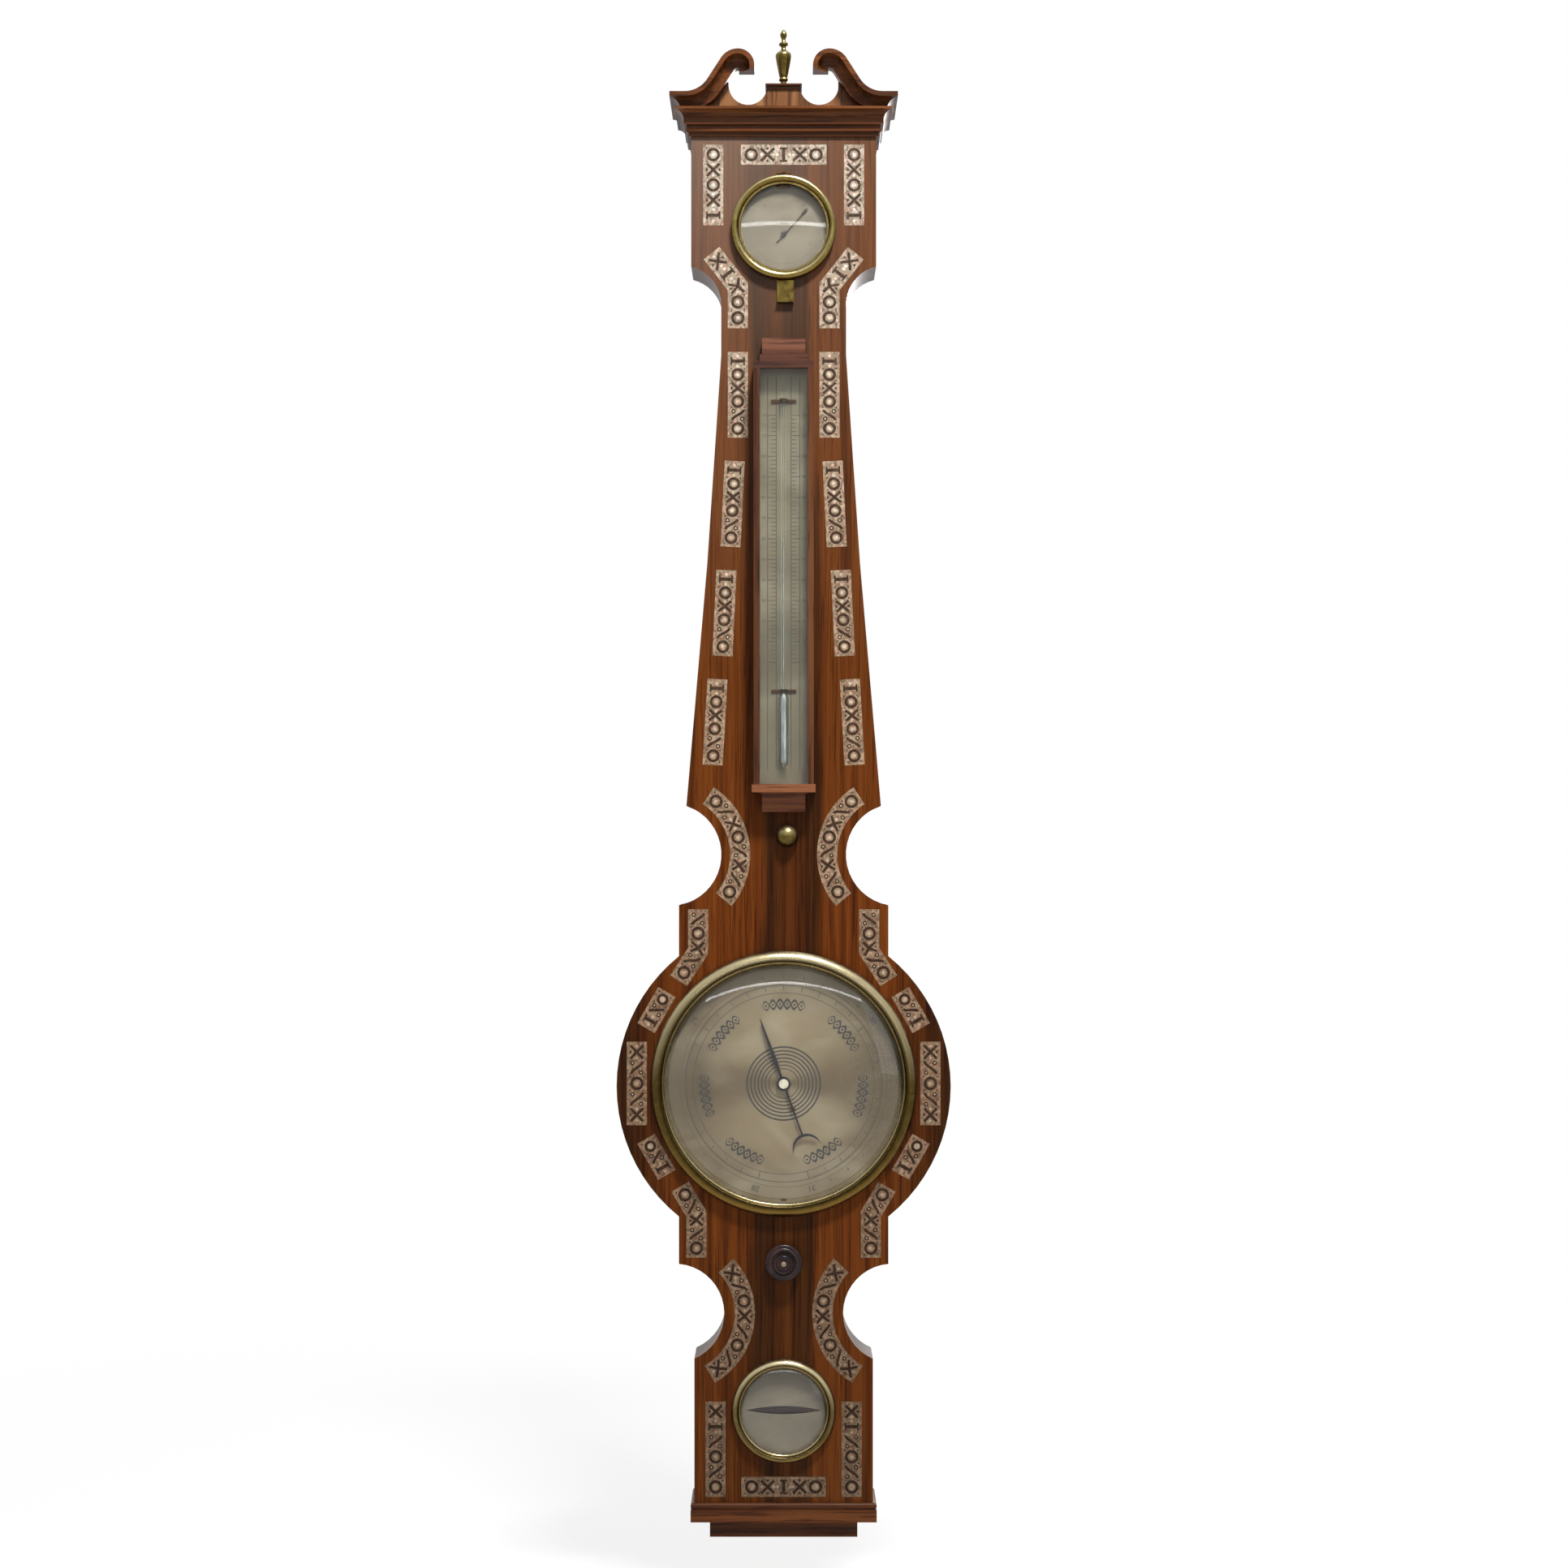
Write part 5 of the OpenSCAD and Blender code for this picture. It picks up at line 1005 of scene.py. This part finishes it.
# Thermometer: a mahogany box hung by keyholes on two headed screws, with a moulded cap and foot and a
# pane of glass in grooves; a quicksilver tube is clipped to a silvered scale inside it.
SCALE_FACE = 55.5
SCALE_LOW, DEGREE, HIGHEST = 352.0, 1.72, 120
LINES_LOW, LINES_HIGH, LINE_HALF = 262, 590, 0.3
INNER_LINE, SHORT_END, MIDDLE_LINE, FIGURES, OUTER_LINE = 6.2, 10.4, 13.4, 16.8, 20.0
scale_silver = silvered("silvered_scale", tone(86, 77, 61), tone(102, 93, 76), tone(117, 108, 92))
bm = bmesh.new()
for side in (1, -1):
    for line in (INNER_LINE, MIDDLE_LINE, OUTER_LINE):
        left, right = side * line - LINE_HALF, side * line + LINE_HALF
        ink(bm, [(left, LINES_LOW), (right, LINES_LOW), (right, LINES_HIGH), (left, LINES_HIGH)], SCALE_FACE)
    for i in range(0, HIGHEST + 1, 2):
        z, out = SCALE_LOW + DEGREE * i, SHORT_END if i % 10 else MIDDLE_LINE
        near, far, low, high = side * INNER_LINE, side * out, z - LINE_HALF, z + LINE_HALF
        ink(bm, [(near, low), (far, low), (far, high), (near, high)], SCALE_FACE)
        if i % 10 == 0:
            numeral(bm, str(i), 3.4, side * FIGURES, z, 0, SCALE_FACE)
piece("thermometer_engraving", bm, "thermometer", "silvered_brass", [wax])
red_mahogany = polished_wood("red_mahogany", tone(58, 28, 13), tone(86, 48, 24), tone(110, 68, 38),
                             UPRIGHT, 0.24, 0.18)
red_level = polished_wood("red_mahogany_level", tone(60, 29, 17), tone(92, 50, 31), tone(124, 77, 54),
                          CROSSWISE, 0.22, 0.25)
red_foot = polished_wood("red_mahogany_foot", tone(76, 38, 20), tone(114, 65, 38), tone(146, 93, 60),
                         CROSSWISE, 0.24, 0.2)
dull_quicksilver, tree, shader = new_finish("dull_quicksilver", Metallic=0.9)
column = cloud(tree, (300.0, 300.0, 80.0), 2.0)
lay(tree, shader, ramp(tree, column, [(0.3, tone(120, 124, 128)), (0.7, tone(176, 180, 184))]),
    span(tree, column, 0.3, 0.7, 0.1, 0.2))
pane_glass = clear_glass("pane_glass", (0.93, 0.96, 0.93))
dress(red_mahogany, "thermo_case")
dress(red_level, "thermo_cap")
dress(red_foot, "thermo_foot")
dress(pane_glass, "thermo_glass")
dress(scale_silver, "thermo_scale")
dress(tube_glass, "thermo_tube")
dress(dull_quicksilver, "thermo_filling")
dress(brown_brass, "thermo_clips")
dress(brass_paint, "thermo_hooks")


# Brass knob on the trunk: a solid ball turned from brass rod,
# on a stem that goes through the front of the case.
dress(brass_paint, "trunk_knob")


# Set knob: dark hardwood turned with beads and polished, with a small stud of pearl let into its tip,
# on a brass arbor that goes through the case under the main dial.
KNOB_UP, KNOB_TIP = -149.0, 62.7
dark_knob = polished_wood("dark_turned_wood", tone(22, 12, 12), tone(38, 22, 22), tone(60, 37, 35),
                          (90.0, 90.0, 90.0), 0.25, 0.25)
bm = bmesh.new()
stud = [(0, -1), (2.1, -1), (2.1, 0), (2.0, 0.4), (1.6, 0.8), (0.9, 1.05), (0, 1.1)]
turned(bm, stud, lambda r, h, a: corner(r * math.cos(a), KNOB_UP + r * math.sin(a), KNOB_TIP + h), 40)
piece("knob_stud", bm, "setter", "pearl", [bright_paint], (), 40)
dress(dark_knob, "set_knob")
dress(brass_paint, "knob_arbor")


# Spirit level: a glass vial of tinted spirit behind a slot in a silvered plate, under a domed glass in
# a brass ring that is pinned to the plinth.
LEVEL_UP = -274.0
LEVEL_LIP, LEVEL_SEAT, LEVEL_RISE = 35.7, 37.8, 4.4
LEVEL_OUTER, LEVEL_TALL = 43.6, 7.0
level_spirit, tree, shader = new_finish("level_spirit", Transmission_Weight=0.4, IOR=1.36)
swirl = cloud(tree, (120.0, 120.0, 120.0), 3.0)
lay(tree, shader, ramp(tree, swirl, [(0.3, tone(40, 14, 16)), (0.7, tone(70, 30, 28))]),
    span(tree, swirl, 0.3, 0.7, 0.12, 0.2))
dress(small_silver, "level_dial")
dress(level_spirit, "level_vial")
level_ring_brass = turned_brass("level_ring_brass", LEVEL_UP, SMALL_INNER, SMALL_OUTER, tone(104, 90, 56),
                                tone(88, 72, 40))
dial_ring("level_ring", LEVEL_UP, SMALL_INNER, LEVEL_SEAT, LEVEL_OUTER, LEVEL_TALL, level_ring_brass,
          "level_bezel")
domed_glass("level_dome", LEVEL_UP, LEVEL_LIP, LEVEL_SEAT, LEVEL_RISE, "level_glass")


# Back door: a board of pine, stained brown, that closes the movement, on two brass butt hinges,
# with a small turned button of brass that keeps it shut.
door_wood = polished_wood("stained_pine_door", tone(50, 24, 10), tone(86, 45, 19), tone(116, 66, 32),
                          UPRIGHT, 0.28, 0.12)
dress(door_wood, "back_door")
dress(brass_paint, "door_hinges", "door_leaves", "door_button")


# Studio: a pale floor below the hanging part and white surroundings, a key lamp above, a long tube and a
# fill in front, a lamp behind for the back, and the camera near the height of the part's middle.
PICTURE_W = 1.3138
CAMERA_AWAY, CAMERA_UP, PICTURE_UP = 2.0, -0.61, -0.5441
CAMERA_SIDE, FILM_W = 0.0003, 36.0
FLOOR_UP, FLOOR_SIDES = -1.24, 64
FADE_NEAR, FADE_FAR = 1.26, 1.9
bm = bmesh.new()
rings = []
for r in (0.4, 1.6):
    turns = [2 * math.pi * i / FLOOR_SIDES for i in range(FLOOR_SIDES)]
    rings.append([bm.verts.new((r * math.cos(a), r * math.sin(a), FLOOR_UP)) for a in turns])
bm.faces.new(rings[0])
for i in range(FLOOR_SIDES):
    bm.faces.new((rings[0][i], rings[0][i - 1], rings[1][i - 1], rings[1][i]))
bmesh.ops.recalc_face_normals(bm, faces=bm.faces)
floor_mesh = bpy.data.meshes.new("floor")
bm.to_mesh(floor_mesh)
bm.free()
floor = bpy.data.objects.new("floor", floor_mesh)
bpy.context.scene.collection.objects.link(floor)
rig.stage(floor)


def seen_light(tree):
    """1 for light that the camera sees straight, in a mirror or through glass, and 0 for the rest."""
    path = add(tree, "LightPath").outputs
    mirrored = reckon(tree, "MAXIMUM", path["Is Camera Ray"], path["Is Glossy Ray"])
    return reckon(tree, "MAXIMUM", mirrored, path["Is Transmission Ray"])


floor_paint, tree, shader = new_finish("pale_floor", Roughness=0.8, Specular_IOR_Level=0.1)
shader.inputs["Base Color"].default_value = (0.92, 0.92, 0.92, 1)
place = add(tree, "TexCoord").outputs["Object"]
fade = span(tree, length_of(tree, place), FADE_NEAR, FADE_FAR, 0.82, 1.0)
share = reckon(tree, "MULTIPLY", seen_light(tree), fade)
white = add(tree, "Emission", {"Color": (1, 1, 1, 1), "Strength": 1.0})
mixed = add(tree, "MixShader", {0: share, 1: shader.outputs[0], 2: white.outputs[0]})
tree.links.new(mixed.outputs[0], tree.nodes["Material Output"].inputs["Surface"])
floor_mesh.materials.append(floor_paint)

world = bpy.data.worlds.new("studio")
world.use_nodes = True
bpy.context.scene.world = world
tree = world.node_tree
backdrop = tree.nodes["Background"]
direct = reckon(tree, "LESS_THAN", add(tree, "LightPath").outputs["Diffuse Depth"], 0.5)
seen = reckon(tree, "MULTIPLY", seen_light(tree), direct)
tree.links.new(span(tree, seen, 0.0, 1.0, 0.14, 1.0), backdrop.inputs["Strength"])
backdrop.inputs["Color"].default_value = (1, 1, 1, 1)


def lamp(name, x, y, z, wide, tall, power):
    """A soft lamp that looks at the middle of the part."""
    light = bpy.data.lights.new(name, "AREA")
    light.shape, light.size, light.size_y, light.energy = "RECTANGLE", wide, tall, power
    made = bpy.data.objects.new(name, light)
    bpy.context.scene.collection.objects.link(made)
    made.location = (x, y, z)
    made.visible_camera = False
    aim = Vector((0, 0, PICTURE_UP)) - made.location
    made.rotation_euler = aim.to_track_quat("-Z", "Y").to_euler()


lamp("key_lamp", 0.45, -1.3, 1.8, 0.5, 0.3, 106)
lamp("tube_lamp", 0.0, -4.05, 1.1, 4.4, 0.11, 17)
lamp("fill_lamp", 1.6, -2.0, -0.2, 1.0, 1.4, 4)
lamp("wall_lamp", 0.9, 2.4, 0.5, 1.4, 1.4, 40)

eye = bpy.data.cameras.new("camera")
eye.sensor_width = FILM_W
eye.lens = FILM_W * CAMERA_AWAY / PICTURE_W
eye.shift_y = (PICTURE_UP - CAMERA_UP) / PICTURE_W
camera = bpy.data.objects.new("camera", eye)
camera.location = (CAMERA_SIDE, -FRONT * MM - CAMERA_AWAY, CAMERA_UP)
camera.rotation_euler = (math.pi / 2, 0, 0)
bpy.context.scene.collection.objects.link(camera)
bpy.context.scene.camera = camera
bpy.context.scene.view_settings.view_transform = "Standard"

with open("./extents.json", "w") as note:
    json.dump({"cad": [list(c) for c in cad_box], "visual": [list(c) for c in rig.bounds()]}, note)
